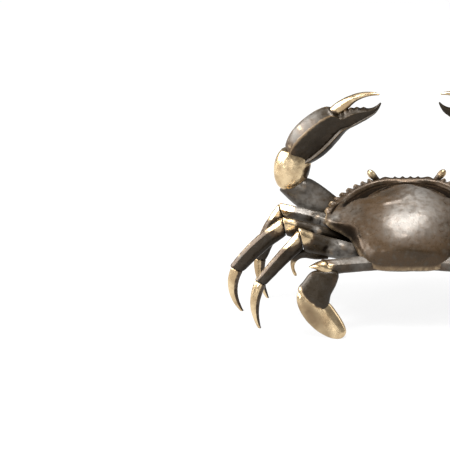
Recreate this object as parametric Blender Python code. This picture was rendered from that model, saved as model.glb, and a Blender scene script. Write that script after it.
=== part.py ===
"""Cast bronze figure of a swimming crab with both claws raised.

Lengths are in millimetres until the meshes are written, which turns them into metres.
+X is the crab's right, +Y its front and +Z is up. The shell has its own slanted axes:
x across, f forward along the shell and n out of its back.
"""

import math

import bmesh
import bpy
from mathutils import Matrix, Vector

MM = 0.001
GAP = 0.3

# Where the figure stands: its box is centred on the origin and its feet are on z = 0.
STANCE = Vector((0.0, 17.0, 0.0))

# Body
BODY_CENTRE = Vector((0.0, -10.0, 62.0))
BODY_PITCH = math.radians(24.0)
SHELL_OUTLINE = (
    (0.0, 41.0),
    (15.0, 40.5),
    (28.0, 36.5),
    (40.5, 28.0),
    (50.0, 18.0),
    (54.0, 8.5),
    (51.0, -4.0),
    (42.0, -13.0),
    (33.5, -21.5),
    (28.0, -30.5),
    (22.0, -37.0),
    (0.0, -38.0),
)
SHELL_SIDES = 112
SHELL_RIM_UNDER = 1.8
# Shell profiles from the rim in: share of the outline's radius, height in front, height behind.
SHELL_PROFILE = (
    (1.00, 0.0, 0.0),
    (0.97, 1.2, 2.6),
    (0.89, 2.4, 5.8),
    (0.82, 1.6, 8.2),
    (0.74, 5.4, 10.4),
    (0.58, 11.6, 13.0),
    (0.34, 14.6, 14.8),
)
SHELL_DOME = 15.4
SIDE_DROOP = 4.0
EDGE_TEETH = 8
TOOTH_HEIGHT = 1.2
UNDER_DEPTH = 19.0
UNDER_SIDES = 56

# Feet are cut level here, so each one has a small flat spot.
FLOOR = 0.0


def across(x, f, n):
    """A point given in the shell's slanted axes."""
    turn = Matrix.Rotation(BODY_PITCH, 3, "X")
    return BODY_CENTRE + turn @ Vector((x, f, n))


def mirror_side(point, side, reach=0.0):
    """Limbs are described on the crab's left, where x is negative. The right may reach further."""
    spread = reach if side > 0 else 0.0
    return Vector((point[0] * -side + spread, point[1], point[2]))


def material(name, colour, roughness):
    made = bpy.data.materials.new(name)
    made.use_nodes = True
    shader = made.node_tree.nodes["Principled BSDF"]
    shader.inputs["Base Color"].default_value = (*colour, 1.0)
    shader.inputs["Metallic"].default_value = 1.0
    shader.inputs["Roughness"].default_value = roughness
    made.diffuse_color = (*colour, 1.0)
    return made


def place(name, mesh_data, finish):
    """Writes a bmesh as an object in metres, standing where the figure stands."""
    bmesh.ops.recalc_face_normals(mesh_data, faces=mesh_data.faces)
    bmesh.ops.transform(mesh_data, matrix=Matrix.Translation(STANCE), verts=mesh_data.verts)
    bmesh.ops.scale(mesh_data, vec=(MM, MM, MM), verts=mesh_data.verts)
    mesh = bpy.data.meshes.new(name)
    mesh_data.to_mesh(mesh)
    mesh_data.free()
    mesh.shade_smooth()
    mesh.set_sharp_from_angle(angle=math.radians(35))
    mesh.materials.append(finish)
    piece = bpy.data.objects.new(name, mesh)
    bpy.context.scene.collection.objects.link(piece)
    return piece


def rounded(points, steps):
    """A smooth closed outline through points, with a number of steps from each to the next."""
    loop = [Vector(p) for p in points]
    smooth = []
    for i in range(len(loop)):
        a, b, c, d = (loop[(i + k) % len(loop)] for k in (-1, 0, 1, 2))
        for step in range(steps):
            t = step / steps
            square = (2 * a - 5 * b + 4 * c - d) * t**2
            smooth.append(0.5 * (2 * b + (c - a) * t + square + (3 * b - a - 3 * c + d) * t**3))
    return smooth


def shell_outline(points, count):
    """Radii of a closed outline at even turns, from half its points and their mirror image."""
    mirrored = [(-x, y) for x, y in reversed(points[1:-1])]
    dense = rounded(list(points) + mirrored, 24)
    dense.sort(key=lambda p: math.atan2(p.x, p.y))
    angles = [math.atan2(p.x, p.y) for p in dense]
    outline = []
    for i in range(count):
        angle = -math.pi + 2 * math.pi * (i + 0.5) / count
        after = next((k for k, a in enumerate(angles) if a >= angle), 0)
        p, q = dense[after - 1], dense[after]
        span = (angles[after] - angles[after - 1]) % (2 * math.pi)
        part = ((angle - angles[after - 1]) % (2 * math.pi)) / span if span else 0.0
        radius = p.length + (q.length - p.length) * part
        outline.append((angle, radius))
    return outline


def stack_rings(rings, cap_first=True, cap_last=True):
    """Joins rings of equal count into one closed skin. A ring of one point is a pole."""
    made = bmesh.new()
    rows = [[made.verts.new(p) for p in ring] for ring in rings]
    for low, high in zip(rows, rows[1:]):
        count = max(len(low), len(high))
        for i in range(count):
            j = (i + 1) % count
            corners = [low[i % len(low)], low[j % len(low)], high[j % len(high)], high[i % len(high)]]
            made.faces.new(list(dict.fromkeys(corners)))
    if cap_first and len(rows[0]) > 1:
        made.faces.new(rows[0])
    if cap_last and len(rows[-1]) > 1:
        made.faces.new(rows[-1])
    return made


def frontness(angle):
    """1 round the toothed front edge, falling to 0 behind the widest point."""
    return max(0.0, min(1.0, (math.radians(98) - abs(angle)) / math.radians(16)))


def tooth_lift(angle):
    """Small teeth along the front edge, from beside the eyes to the widest point."""
    first, last = math.radians(38), math.radians(84)
    if not first < abs(angle) < last:
        return 0.0
    turn = (abs(angle) - first) / (last - first) * EDGE_TEETH
    return TOOTH_HEIGHT * abs(math.sin(math.pi * turn))


def droop(angle):
    """How far the shell's edge hangs down behind its widest point, before it rises to the tail."""
    turn = (math.degrees(abs(angle)) - 82.0) / 82.0
    return SIDE_DROOP * math.sin(math.pi * turn) if 0.0 < turn < 1.0 else 0.0


def upper_shell(finish):
    outline = shell_outline(SHELL_OUTLINE, SHELL_SIDES)

    def ring(scale, front_height, rear_height, inset=0.0):
        points = []
        for angle, radius in outline:
            r = radius * scale - inset + (tooth_lift(angle) if scale == 1.0 else 0.0)
            level = rear_height + (front_height - rear_height) * frontness(angle)
            level -= droop(angle) * max(0.0, (scale - 0.5) / 0.5)
            points.append(across(r * math.sin(angle), r * math.cos(angle), level))
        return points

    rings = [
        [across(0.0, 0.0, -SHELL_RIM_UNDER)],
        ring(0.86, -SHELL_RIM_UNDER, -SHELL_RIM_UNDER),
        ring(1.0, -SHELL_RIM_UNDER, -SHELL_RIM_UNDER, inset=1.2),
    ]
    rings += [ring(*row) for row in SHELL_PROFILE]
    rings.append([across(0.0, 0.0, SHELL_DOME)])
    return place("upper_shell", stack_rings(rings), finish)


def under_shell(finish, shell_cutter):
    """The belly. It is full at the rear and drawn in beside the legs, under the shell's edge."""
    outline = shell_outline(SHELL_OUTLINE, UNDER_SIDES)

    def ring(rear_scale, side_scale, level):
        points = []
        for angle, radius in outline:
            rear = max(0.0, min(1.0, (math.degrees(abs(angle)) - 125.0) / 25.0))
            r = radius * (side_scale + (rear_scale - side_scale) * rear)
            points.append(across(r * math.sin(angle), r * math.cos(angle), level))
        return points

    rings = [
        ring(0.95, 0.80, 0.0),
        ring(0.94, 0.80, -9.0),
        ring(0.84, 0.76, -13.0),
        ring(0.64, 0.62, -16.5),
        ring(0.46, 0.46, -UNDER_DEPTH),
    ]
    return trim(place("under_shell", stack_rings(rings), finish), [shell_cutter])


def oval(centre, normal, height, depth, sides):
    """A ring across a limb. Its depth runs as near to +Y as the ring's plane allows."""
    depth_axis = Vector((0.0, 1.0, 0.0))
    depth_axis = (depth_axis - normal * depth_axis.dot(normal)).normalized()
    height_axis = normal.cross(depth_axis)
    points = []
    for i in range(sides):
        turn = 2 * math.pi * (i + 0.5) / sides
        points.append(
            centre + height_axis * (height * math.cos(turn)) + depth_axis * (depth * math.sin(turn))
        )
    return points


def blend3(values, t):
    """A smooth run through a start, a middle and an end value."""
    start, middle, end = values
    return start * (1 - t) * (1 - 2 * t) + 4 * middle * t * (1 - t) + end * t * (2 * t - 1)


def limb_rings(start, end, heights, depths, bow=(0, 0, 0), start_cut=None, end_cut=None,
               steps=5, sides=12):
    """Rings from start to end. A cut is the normal of the plane shared with the next piece."""
    start, end, bow = Vector(start), Vector(end), Vector(bow)
    rings = []
    for i in range(steps + 1):
        t = i / steps
        centre = start.lerp(end, t) + bow * (4 * t * (1 - t))
        tangent = (end - start + bow * (4 - 8 * t)).normalized()
        normal = tangent
        height, depth = blend3(heights, t), blend3(depths, t)
        if i == 0 and start_cut is not None:
            normal = start_cut
            centre = centre + normal * (GAP / 2)
            height /= abs(normal.dot(tangent))
        if i == steps and end_cut is not None:
            normal = end_cut
            centre = centre - normal * (GAP / 2)
            height /= abs(normal.dot(tangent))
        rings.append(oval(centre, normal, height, depth, sides))
    return rings


def bisector(before, joint, after):
    """The normal of the plane that two pieces share where a limb bends."""
    first = (Vector(joint) - Vector(before)).normalized()
    second = (Vector(after) - Vector(joint)).normalized()
    return (first + second).normalized()


def cutter_of(piece):
    """A copy of a piece, grown by the gap that neighbours keep to it."""
    mesh = piece.data.copy()
    grown = bmesh.new()
    grown.from_mesh(mesh)
    grown.normal_update()
    for vert in grown.verts:
        vert.co += vert.normal * (GAP * 1.3 * MM)
    grown.to_mesh(mesh)
    grown.free()
    cutter = bpy.data.objects.new(piece.name + "_cutter", mesh)
    cutter.display_type = "WIRE"
    cutter.hide_render = True
    bpy.context.scene.collection.objects.link(cutter)
    return cutter


def trim(piece, cutters):
    for cutter in cutters:
        cut = piece.modifiers.new("trim to " + cutter.name, "BOOLEAN")
        cut.operation = "DIFFERENCE"
        cut.solver = "EXACT"
        cut.object = cutter
    return piece


def level_foot(made):
    """Cuts a foot level with the floor and closes the cut."""
    geometry = list(made.verts) + list(made.edges) + list(made.faces)
    cut = bmesh.ops.bisect_plane(
        made, geom=geometry, plane_co=(0, 0, FLOOR), plane_no=(0, 0, -1), clear_outer=True
    )
    edges = [e for e in cut["geom_cut"] if isinstance(e, bmesh.types.BMEdge)]
    bmesh.ops.holes_fill(made, edges=edges, sides=0)
    return made


# Walking legs on the crab's left: hip, knee, ankle and tip, then each piece's half heights and
# half depths at its start, middle and end, and how far it bows up and outwards.
LEGS = {
    "front": {
        "joints": ((-36, -4, 54), (-84, 2, 64.5), (-101, 1, 29.5), (-96, -1, -1)),
        "thigh": ((5.4, 5.4, 5.0), (4.1, 4.2, 3.8), 1.0),
        "shin": ((5.2, 6.0, 4.8), (3.8, 3.6, 3.0), 3.0),
        "toe": ((4.4, 2.9, 0.8), (3.0, 2.2, 0.8), 2.5),
    },
    "middle": {
        "joints": ((-32, -13, 50), (-82, -15, 60.5), (-115, -19, 31), (-112, -21, -1)),
        "thigh": ((5.8, 6.2, 6.2), (4.1, 4.2, 3.8), 2.0),
        "shin": ((6.0, 5.8, 5.0), (3.8, 3.8, 3.2), 2.2),
        "toe": ((4.4, 3.2, 0.8), (3.0, 2.4, 0.8), 4.0),
    },
    "rear": {
        "joints": ((-26, -22.5, 44), (-70, -30, 57.5), (-97, -40, 31), (-98, -46.5, -1)),
        "thigh": ((6.4, 8.0, 7.2), (4.2, 4.4, 4.0), 0.6),
        "shin": ((6.0, 4.8, 4.2), (4.0, 3.8, 3.2), 0.8),
        "toe": ((4.0, 3.2, 0.8), (3.0, 2.4, 0.8), 3.0),
    },
}


def outward(start, end):
    """Up and outwards, square to a run, so that a limb bows away from the body."""
    run = (end - start).normalized()
    bowed = run.cross(Vector((0.0, 1.0, 0.0))).normalized()
    return bowed if bowed.z + 0.5 * abs(bowed.x) > 0 and bowed.x * (start.x + end.x) >= 0 else -bowed


def walking_leg(name, side, finishes, cutters):
    plan = LEGS[name]
    hip, knee, ankle, tip = (mirror_side(p, side) for p in plan["joints"])
    tag = "_left" if side < 0 else "_right"
    knee_cut = bisector(hip, knee, ankle)
    ankle_cut = bisector(knee, ankle, tip)
    heights, depths, bow = plan["thigh"]
    thigh = limb_rings(hip, knee, heights, depths, (0, 0, bow), end_cut=knee_cut)
    heights, depths, bow = plan["shin"]
    bow = outward(knee, ankle) * bow
    shin = limb_rings(knee, ankle, heights, depths, bow, start_cut=knee_cut, end_cut=ankle_cut)
    heights, depths, bow = plan["toe"]
    bow = outward(ankle, tip) * bow
    toe = limb_rings(ankle, tip, heights, depths, bow, start_cut=ankle_cut, steps=6, sides=10)
    trim(place(name + "_thigh" + tag, stack_rings(thigh), finishes["dark"]), cutters)
    place(name + "_shin" + tag, stack_rings(shin), finishes["dark"])
    place(name + "_toe" + tag, level_foot(stack_rings(toe)), finishes["brass"])


# Swimming leg on the crab's left. Its plate and paddle are flat and lean back as they go down:
# outlines are x and z, and y follows from the lean.
SWIM_HIP = (-18, -35, 43.5)
SWIM_ELBOW = (-52.5, -46, 45)
ELBOW_CUT = Vector((-0.78, 0.0, -0.62)).normalized()
WEDGE_TIP = (-64, -48, 46.2)
PLATE_OUTLINE = (
    (-61.0, 43.5), (-45.0, 43.0), (-46.0, 34.5), (-49.8, 27.5), (-51.5, 20.5),
    (-57.5, 18.5), (-68.0, 26.0), (-71.6, 31.5), (-67.5, 37.0),
)
PADDLE_OUTLINE = (
    (-70.5, 30.0), (-72.4, 23.0), (-68.2, 13.5), (-60.0, 5.0), (-52.0, 0.6),
    (-44.0, -1.0), (-39.4, 4.6), (-44.8, 15.0), (-52.8, 24.5), (-61.0, 24.5),
)
LEAN = 0.3
LEAN_FOOT = -60.0
PLATE_THICK = 6.4
PADDLE_THICK = 4.6


def flat_piece(outline, thickness, side):
    """A flat piece with full edges and a face on each side that is drawn in and proud."""
    across_plane = Vector((0.0, 1.0, -LEAN)).normalized()
    points = [Vector((x * -side, LEAN_FOOT + LEAN * z, z)) for x, z in rounded(outline, 2)]
    middle = sum(points, Vector()) / len(points)
    rings = []
    for share, inset in ((-0.5, 0.80), (-0.2, 1.0), (0.2, 1.0), (0.5, 0.80)):
        rings.append([middle + (p - middle) * inset + across_plane * (thickness * share) for p in points])
    return stack_rings(rings)


def swimming_leg(side, finishes, cutters):
    tag = "_left" if side < 0 else "_right"
    hip, elbow, wedge_tip = (mirror_side(p, side) for p in (SWIM_HIP, SWIM_ELBOW, WEDGE_TIP))
    cut = mirror_side(ELBOW_CUT, side)
    arm = limb_rings(hip, elbow, (5.0, 4.6, 4.8), (5.0, 4.2, 3.8), end_cut=cut)
    arm_piece = trim(place("swimming_arm" + tag, stack_rings(arm), finishes["dark"]), cutters)
    wedge = limb_rings(elbow, wedge_tip, (4.6, 4.0, 1.0), (3.8, 4.0, 1.2), start_cut=cut, steps=3)
    wedge_piece = place("swimming_wedge" + tag, stack_rings(wedge), finishes["brass"])
    plate_piece = place(
        "swimming_plate" + tag, flat_piece(PLATE_OUTLINE, PLATE_THICK, side), finishes["dark"]
    )
    trim(plate_piece, [cutter_of(arm_piece), cutter_of(wedge_piece)])
    paddle = level_foot(flat_piece(PADDLE_OUTLINE, PADDLE_THICK, side))
    paddle_piece = place("paddle" + tag, paddle, finishes["brass"])
    trim(paddle_piece, [cutter_of(plate_piece)])


# Claw on the crab's left. The right claw is raised a little further out.
CLAW_SHOULDER = (-42, 8, 55)
CLAW_ELBOW = (-78.5, 15, 79.5)
CLAW_WRIST = (-75.5, 16, 101.5)
WRIST_CUT = Vector((0.6, 0.0, 0.8))
PALM_END = (-47, 14.5, 125.5)
FIXED_ROOT = (-42, 13, 123.5)
FIXED_TIP = (-17.5, 7, 141)
FINGER_BASE = (-50.5, 14.5, 129)
FINGER_TIP = (-17, 7, 147)
RIGHT_CLAW_REACH = 4.5


def claw(side, finishes, cutters):
    tag = "_left" if side < 0 else "_right"
    shoulder = mirror_side(CLAW_SHOULDER, side)
    elbow = mirror_side(CLAW_ELBOW, side, RIGHT_CLAW_REACH / 3)
    outer = (CLAW_WRIST, PALM_END, FIXED_ROOT, FIXED_TIP, FINGER_BASE, FINGER_TIP)
    wrist, palm_end, fixed_root, fixed_tip, finger_base, finger_tip = (
        mirror_side(p, side, RIGHT_CLAW_REACH) for p in outer
    )
    elbow_cut = bisector(shoulder, elbow, wrist)
    wrist_cut = mirror_side(WRIST_CUT, side)
    arm = limb_rings(
        shoulder, elbow, (8.5, 11.6, 10.6), (5.6, 6.2, 6.8), (0, 0, -2.0), end_cut=elbow_cut
    )
    trim(place("claw_arm" + tag, stack_rings(arm), finishes["dark"]), cutters)
    wrist_rings = limb_rings(
        elbow, wrist, (10.6, 11.8, 9.2), (7.2, 8.6, 6.8), mirror_side((-2.0, 0, 0), side),
        start_cut=elbow_cut, end_cut=wrist_cut, steps=4,
    )
    place("claw_wrist" + tag, stack_rings(wrist_rings), finishes["brass"])
    palm = limb_rings(wrist, palm_end, (10.4, 14.2, 12.4), (6.4, 8.4, 7.2), start_cut=wrist_cut)
    finger = limb_rings(
        fixed_root, fixed_tip, (6.4, 4.4, 0.9), (5.0, 3.6, 0.9), mirror_side((0.8, 0, -0.8), side), steps=6
    )
    palm_piece = place("claw_palm" + tag, stack_rings(palm + finger), finishes["dark"])
    moving = limb_rings(
        finger_base, finger_tip, (4.2, 3.0, 0.9), (3.6, 2.6, 0.9),
        bow=mirror_side((-2.6, 0, 4.6), side), steps=7,
    )
    trim(place("claw_finger" + tag, stack_rings(moving), finishes["brass"]), [cutter_of(palm_piece)])


EYE_BASE = (19.0, 37.5, -3.0)
EYE_TIP = (25.5, 41.0, 5.0)
EYE_RADIUS = 2.3


def eye(side, finish, cutters):
    tag = "_left" if side < 0 else "_right"
    base = across(EYE_BASE[0] * side, *EYE_BASE[1:])
    tip = across(EYE_TIP[0] * side, *EYE_TIP[1:])
    along = (tip - base).normalized()
    rings = [oval(base, along, EYE_RADIUS * 0.9, EYE_RADIUS * 0.9, 12)]
    for step in range(5):
        turn = math.pi / 2 * step / 5
        radius = EYE_RADIUS * math.cos(turn)
        rings.append(oval(tip + along * (EYE_RADIUS * math.sin(turn)), along, radius, radius, 12))
    rings.append([tip + along * EYE_RADIUS])
    trim(place("eye" + tag, stack_rings(rings), finish), cutters)


# The tail, folded flat under the body: place along the shell, half width and lowest level
TAIL_STATIONS = (
    (-31.0, 12.0, -14.6),
    (-25.0, 11.0, -18.0),
    (-17.0, 9.0, -20.8),
    (-4.0, 6.0, -21.0),
    (7.0, 2.5, -20.8),
)
TAIL_INSIDE = -9.0


def tail_flap(finish, under_cutter):
    rings = []
    for f, half_width, low in TAIL_STATIONS:
        corners = ((-1, TAIL_INSIDE), (1, TAIL_INSIDE), (0.8, low), (-0.8, low))
        rings.append([across(half_width * x, f, n) for x, n in corners])
    trim(place("tail_flap", stack_rings(rings), finish), [under_cutter])


# Two plates cover the mouth at the front of the belly: across, up the shell's n axis, and forward
MOUTH_PLATE = {"inner": 0.6, "outer": 9.0, "low": -14.5, "high": -3.5, "inside": 24.0, "face": 34.6}


def mouth_plate(side, finish, under_cutter):
    plan = MOUTH_PLATE
    rings = []
    for n, narrow in ((plan["low"], 0.55), (-9.0, 1.0), (plan["high"], 0.8)):
        outer = plan["inner"] + (plan["outer"] - plan["inner"]) * narrow
        face = plan["face"] - (1.0 if n == plan["low"] else 0.0)
        corners = (
            (plan["inner"], plan["inside"]), (outer, plan["inside"]), (outer, face - 1.2),
            (outer * 0.8, face), (plan["inner"], face),
        )
        rings.append([across(x * side, f, n) for x, f in corners])
    tag = "_left" if side < 0 else "_right"
    trim(place("mouth_plate" + tag, stack_rings(rings), finish), [under_cutter])


def build():
    for old in list(bpy.data.objects):
        bpy.data.objects.remove(old, do_unlink=True)
    finishes = {
        "dark": material("dark_patina", (0.075, 0.050, 0.034), 0.35),
        "brass": material("worn_brass", (0.62, 0.47, 0.26), 0.28),
    }
    shell_cutter = cutter_of(upper_shell(finishes["dark"]))
    under_cutter = cutter_of(under_shell(finishes["dark"], shell_cutter))
    cutters = [shell_cutter, under_cutter]
    tail_flap(finishes["dark"], under_cutter)
    for side in (-1, 1):
        eye(side, finishes["brass"], cutters)
        mouth_plate(side, finishes["dark"], under_cutter)
        claw(side, finishes, cutters)
        for name in LEGS:
            walking_leg(name, side, finishes, cutters)
        swimming_leg(side, finishes, cutters)


build()
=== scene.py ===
# %% [markdown]
# # A cast bronze crab
# The model is a small bronze casting of a swimming crab. Its shell has a dark brown patina, and its
# claw fingers, wrists, knees, toes and paddles are rubbed down to bare brass. The imported CAD model
# gives the size and the place of every piece, and this file makes the pieces look like the casting.
# The frame is loaded first.

# %% Load the frame
import math

import bmesh
import bpy
import numpy as np
from mathutils import Matrix, Quaternion, Vector


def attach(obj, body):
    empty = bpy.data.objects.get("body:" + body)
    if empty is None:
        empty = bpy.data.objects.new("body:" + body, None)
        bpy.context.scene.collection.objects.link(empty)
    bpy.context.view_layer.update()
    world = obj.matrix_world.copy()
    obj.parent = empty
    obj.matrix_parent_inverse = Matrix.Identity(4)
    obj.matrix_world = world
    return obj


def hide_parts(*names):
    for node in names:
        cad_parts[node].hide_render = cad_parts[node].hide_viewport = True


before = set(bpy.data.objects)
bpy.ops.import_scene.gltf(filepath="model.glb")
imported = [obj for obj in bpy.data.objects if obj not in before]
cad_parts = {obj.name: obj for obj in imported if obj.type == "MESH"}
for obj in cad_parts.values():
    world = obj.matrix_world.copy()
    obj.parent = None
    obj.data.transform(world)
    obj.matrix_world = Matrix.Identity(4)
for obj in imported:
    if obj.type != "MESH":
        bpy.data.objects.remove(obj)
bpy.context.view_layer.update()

# %% [markdown]
# ## Where things are
# A casting like this is measured with callipers, in millimetres. Blender works in metres, so every
# place goes through `at`, which also moves the crab to where it stands on the frame's origin. +X is
# the crab's right, +Y its front, +Z up. The shell is tilted with its front edge up, so it has
# axes of its own: across, forward along the shell, and out of its back.

# %% Places on the crab
MM = 0.001
STANCE = Vector((0.0, 17.0, 0.0))
BODY_CENTRE = Vector((0.0, -10.0, 62.0))
BODY_PITCH = math.radians(24.0)
UP = Vector((0.0, 0.0, 1.0))
FRONT = Vector((0.0, 1.0, 0.0))


def at(x, y, z):
    """A place on the crab, from millimetres to the frame's metres."""
    return (Vector((x, y, z)) + STANCE) * MM


def on_shell(x, forward, out):
    """A place given in the shell's own slanted axes."""
    return at(*(BODY_CENTRE + Matrix.Rotation(BODY_PITCH, 3, "X") @ Vector((x, forward, out))))


print("middle of the back", [round(c, 4) for c in on_shell(0.0, 0.0, 15.4)])

# %% [markdown]
# ## Camera
# The crab is seen from behind and above, through a long lens, and it stands to the right of the
# picture's middle, so that its right side runs out of the picture. The camera first looks straight
# at the body. Then it is turned about its own upright axis, which moves the crab sideways without
# shifting the lens, and it keeps the level lines of the crab level.

# %% Set up the camera
PICTURE = 450
LENS = 130.0
SENSOR = 36.0
CAMERA_DISTANCE = 1100.0
CAMERA_ELEVATION = math.radians(24.0)
BODY_RIGHT_OF_MIDDLE = 181.5
BODY_ABOVE_MIDDLE = 3.0

away = Vector((0.0, -math.cos(CAMERA_ELEVATION), math.sin(CAMERA_ELEVATION)))
focal_pixels = LENS / SENSOR * PICTURE
turn_left = Quaternion((0, 1, 0), math.atan(BODY_RIGHT_OF_MIDDLE / focal_pixels))
tilt_down = Quaternion((1, 0, 0), -math.atan(BODY_ABOVE_MIDDLE / focal_pixels))

bpy.ops.object.select_all(action="DESELECT")
bpy.ops.object.camera_add(location=at(*(BODY_CENTRE + away * CAMERA_DISTANCE)))
camera = bpy.context.object
camera.name = "camera"
camera.data.lens = LENS
camera.data.sensor_width = SENSOR
camera.data.clip_start = 0.05
camera.rotation_mode = "QUATERNION"
camera.rotation_quaternion = (-away).to_track_quat("-Z", "Y") @ turn_left @ tilt_down
bpy.context.scene.camera = camera
print("camera", [round(c, 3) for c in camera.location])

# %% [markdown]
# ## Light and floor
# The photograph is a catalogue picture: white all round, soft light from overhead and from the
# sides, and hardly any shadow. Polished bronze shows the lights' shapes more than its own colour, so
# each light is placed by what it is mirrored in. A small bright key light hangs above the shell and
# gives the one white highlight on the dome, and a wider, dimmer light behind it softens the
# highlight's border. All the lights are oval, because a box would leave a highlight with corners.
# The panels at the sides draw the long pale lines on the claw and the legs, and a wide dim roof fills
# the rest. Bronze that faces the camera mirrors the floor, so the floor may not be much brighter than
# white. It is a lit white table, which also keeps the shadow as faint as in the photograph.

# %% Hang the lights and lay the floor
SURROUND = 0.30
FLOOR_SIZE = 9.0
FLOOR_SINK = 0.00005
FLOOR_GREY = 0.11
FLOOR_GLOW = 0.82
LIT_PLACE = Vector((0.0, 0.0, 0.06))
# Place, size across and along, and brightness of each panel. All face the lit place in the body.
PANELS = {
    "key_light": ((-0.02, -0.05, 1.05), (0.24, 0.20), 43.0),
    "key_rim": ((0.02, -0.02, 1.12), (0.66, 0.56), 8.0),
    "roof": ((0.0, 0.0, 1.60), (2.2, 2.2), 1.2),
    "left_panel": ((-1.00, -0.10, 0.52), (1.20, 0.78), 12.0),
    "right_panel": ((1.00, -0.10, 0.52), (0.80, 0.60), 2.5),
    "low_light": ((-0.28, -1.45, 0.20), (0.50, 0.30), 1.8),
    "strip_light": ((-0.95, -1.10, 0.55), (0.25, 0.80), 12.0),
}


def hang_panel(name, place, size, brightness):
    """An oval area light. Its power follows from its brightness and its area."""
    bpy.ops.object.light_add(type="AREA", location=place)
    panel = bpy.context.object
    panel.name = name
    panel.data.shape = "ELLIPSE"
    panel.data.size, panel.data.size_y = size
    panel.data.energy = brightness * math.pi**2 / 4 * size[0] * size[1]
    panel.rotation_euler = (LIT_PLACE - Vector(place)).to_track_quat("-Z", "Y").to_euler()
    return panel


for name, (place, size, brightness) in PANELS.items():
    hang_panel(name, place, size, brightness)

surround = bpy.data.worlds.new("surround")
surround.use_nodes = True
surround.node_tree.nodes["Background"].inputs["Color"].default_value = (SURROUND,) * 3 + (1.0,)
scene = bpy.context.scene
scene.world = surround
scene.view_settings.view_transform = "Standard"

bpy.ops.mesh.primitive_plane_add(size=FLOOR_SIZE, location=(0.0, 0.0, -FLOOR_SINK))
floor = bpy.context.object
floor.name = "floor"
floor_finish = bpy.data.materials.new("lit_white_table")
floor_finish.use_nodes = True
floor_shader = floor_finish.node_tree.nodes["Principled BSDF"]
floor_shader.inputs["Base Color"].default_value = (FLOOR_GREY,) * 3 + (1.0,)
floor_shader.inputs["Roughness"].default_value = 0.9
floor_shader.inputs["Specular IOR Level"].default_value = 0.1
floor_shader.inputs["Emission Color"].default_value = (1.0, 1.0, 1.0, 1.0)
floor_shader.inputs["Emission Strength"].default_value = FLOOR_GLOW
floor.data.materials.append(floor_finish)
print("panels", sorted(PANELS))

# %% [markdown]
# ## Modelling in edit mode
# Every piece starts as an empty mesh at the origin, opened in edit mode, so that whatever is added
# keeps its place in the mesh and the object itself stays unturned and unscaled. An operator works on
# all that is selected, so points are selected in code, by their number or their place.

# %% Open, select and close a piece
def open_piece(name):
    """An empty mesh object at the origin, in edit mode."""
    bpy.ops.object.select_all(action="DESELECT")
    bpy.ops.object.add(type="MESH", location=(0.0, 0.0, 0.0))
    piece = bpy.context.object
    piece.name = name
    piece.data.name = name
    bpy.ops.object.mode_set(mode="EDIT")
    return piece


def select_points(piece, wanted):
    """Selects, in edit mode, the points that wanted says yes to, and the edges between them."""
    bpy.ops.mesh.select_mode(type="VERT")
    mesh = bmesh.from_edit_mesh(piece.data)
    for point in mesh.verts:
        point.select_set(wanted(point))
    mesh.select_flush_mode()
    bmesh.update_edit_mesh(piece.data)


def select_rings(piece, first, last, sides):
    select_points(piece, lambda point: first * sides <= point.index < (last + 1) * sides)


def apply_modifiers(piece):
    for modifier in list(piece.modifiers):
        bpy.ops.object.modifier_apply(modifier=modifier.name)


def close_piece(piece, levels):
    """Turns the faces outwards, leaves edit mode and smooths the cage."""
    bpy.ops.mesh.select_all(action="SELECT")
    bpy.ops.mesh.normals_make_consistent(inside=False)
    bpy.ops.object.mode_set(mode="OBJECT")
    if levels:
        smooth = piece.modifiers.new("smooth", "SUBSURF")
        smooth.levels = smooth.render_levels = levels
    apply_modifiers(piece)
    bpy.ops.object.shade_smooth()
    return piece


print("helpers ready")

# %% [markdown]
# ## Limbs from rings
# A crab's limb is a chain of hollow tubes, and each tube swells and thins along its length. A loft
# fits it: oval edge loops are set along the limb, each one a circle that is squeezed to its height
# and depth, and neighbours are bridged. The loops number their points from the top of the limb, over
# the side that looks backwards, so a ridge along the limb is one point of every loop. Rounded squares
# look more like cast limbs than ovals do, so the loops can be squared.
#
# Smoothing a cage draws it in, by a share that depends only on the number of points in a loop. The
# loops are made larger by that share, so the finished limb has the size that was asked for.

# %% Add an oval loop
def loop_axes(along, like):
    """Depth, height and along as columns. Depth is nearest to the front, height on the side of like."""
    depth = (FRONT - along * FRONT.dot(along)).normalized()
    height = along.cross(depth)
    if height.dot(like) < 0:
        height = -height
    return Matrix((depth, height, depth.cross(height))).transposed()


def smoothing_loss(sides):
    return (2.0 + math.cos(2.0 * math.pi / sides)) / 3.0


def squared(corners, sides=12):
    """A section as shares of the height and of the depth: 2 gives an oval, more a rounded square."""
    section = []
    for number in range(sides):
        up, back = math.cos(2 * math.pi * number / sides), math.sin(2 * math.pi * number / sides)
        reach = (abs(up) ** corners + abs(back) ** corners) ** (-1.0 / corners)
        section.append((up * reach, back * reach))
    return section


def add_loop(piece, centre, along, height, depth, like, section):
    """One loop across a limb: a circle, squeezed to an oval, whose points slide to the section."""
    axes = loop_axes(along, like)
    sides = len(section)
    bpy.ops.mesh.primitive_circle_add(
        vertices=sides, radius=1.0, location=centre, rotation=axes.to_euler(),
    )
    bpy.ops.transform.resize(
        value=(depth, height, 1.0), orient_type="GLOBAL", orient_matrix=axes,
        orient_matrix_type="GLOBAL", center_override=centre,
    )
    mesh = bmesh.from_edit_mesh(piece.data)
    points = [point for point in mesh.verts if point.select]
    for point, (up, back) in zip(points, section):
        place = axes.col[1] * (height * up) - axes.col[0] * (depth * back)
        point.co = centre + place / smoothing_loss(sides)
    bmesh.update_edit_mesh(piece.data)


OVAL = squared(2.0)
print("12 points lose", round(1 - smoothing_loss(12), 3), "of their reach")

# %% Stations along a limb
CAST_GAP = 0.3 * MM
# How much of a limb's length turns towards the plane of its joint.
JOINT_TURN = 0.3
# Shares of the length at which loops stand, closer together near the ends.
LOOP_SHARES = (0.0, 0.08, 0.18, 0.32, 0.5, 0.68, 0.82, 0.92, 1.0)


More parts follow.
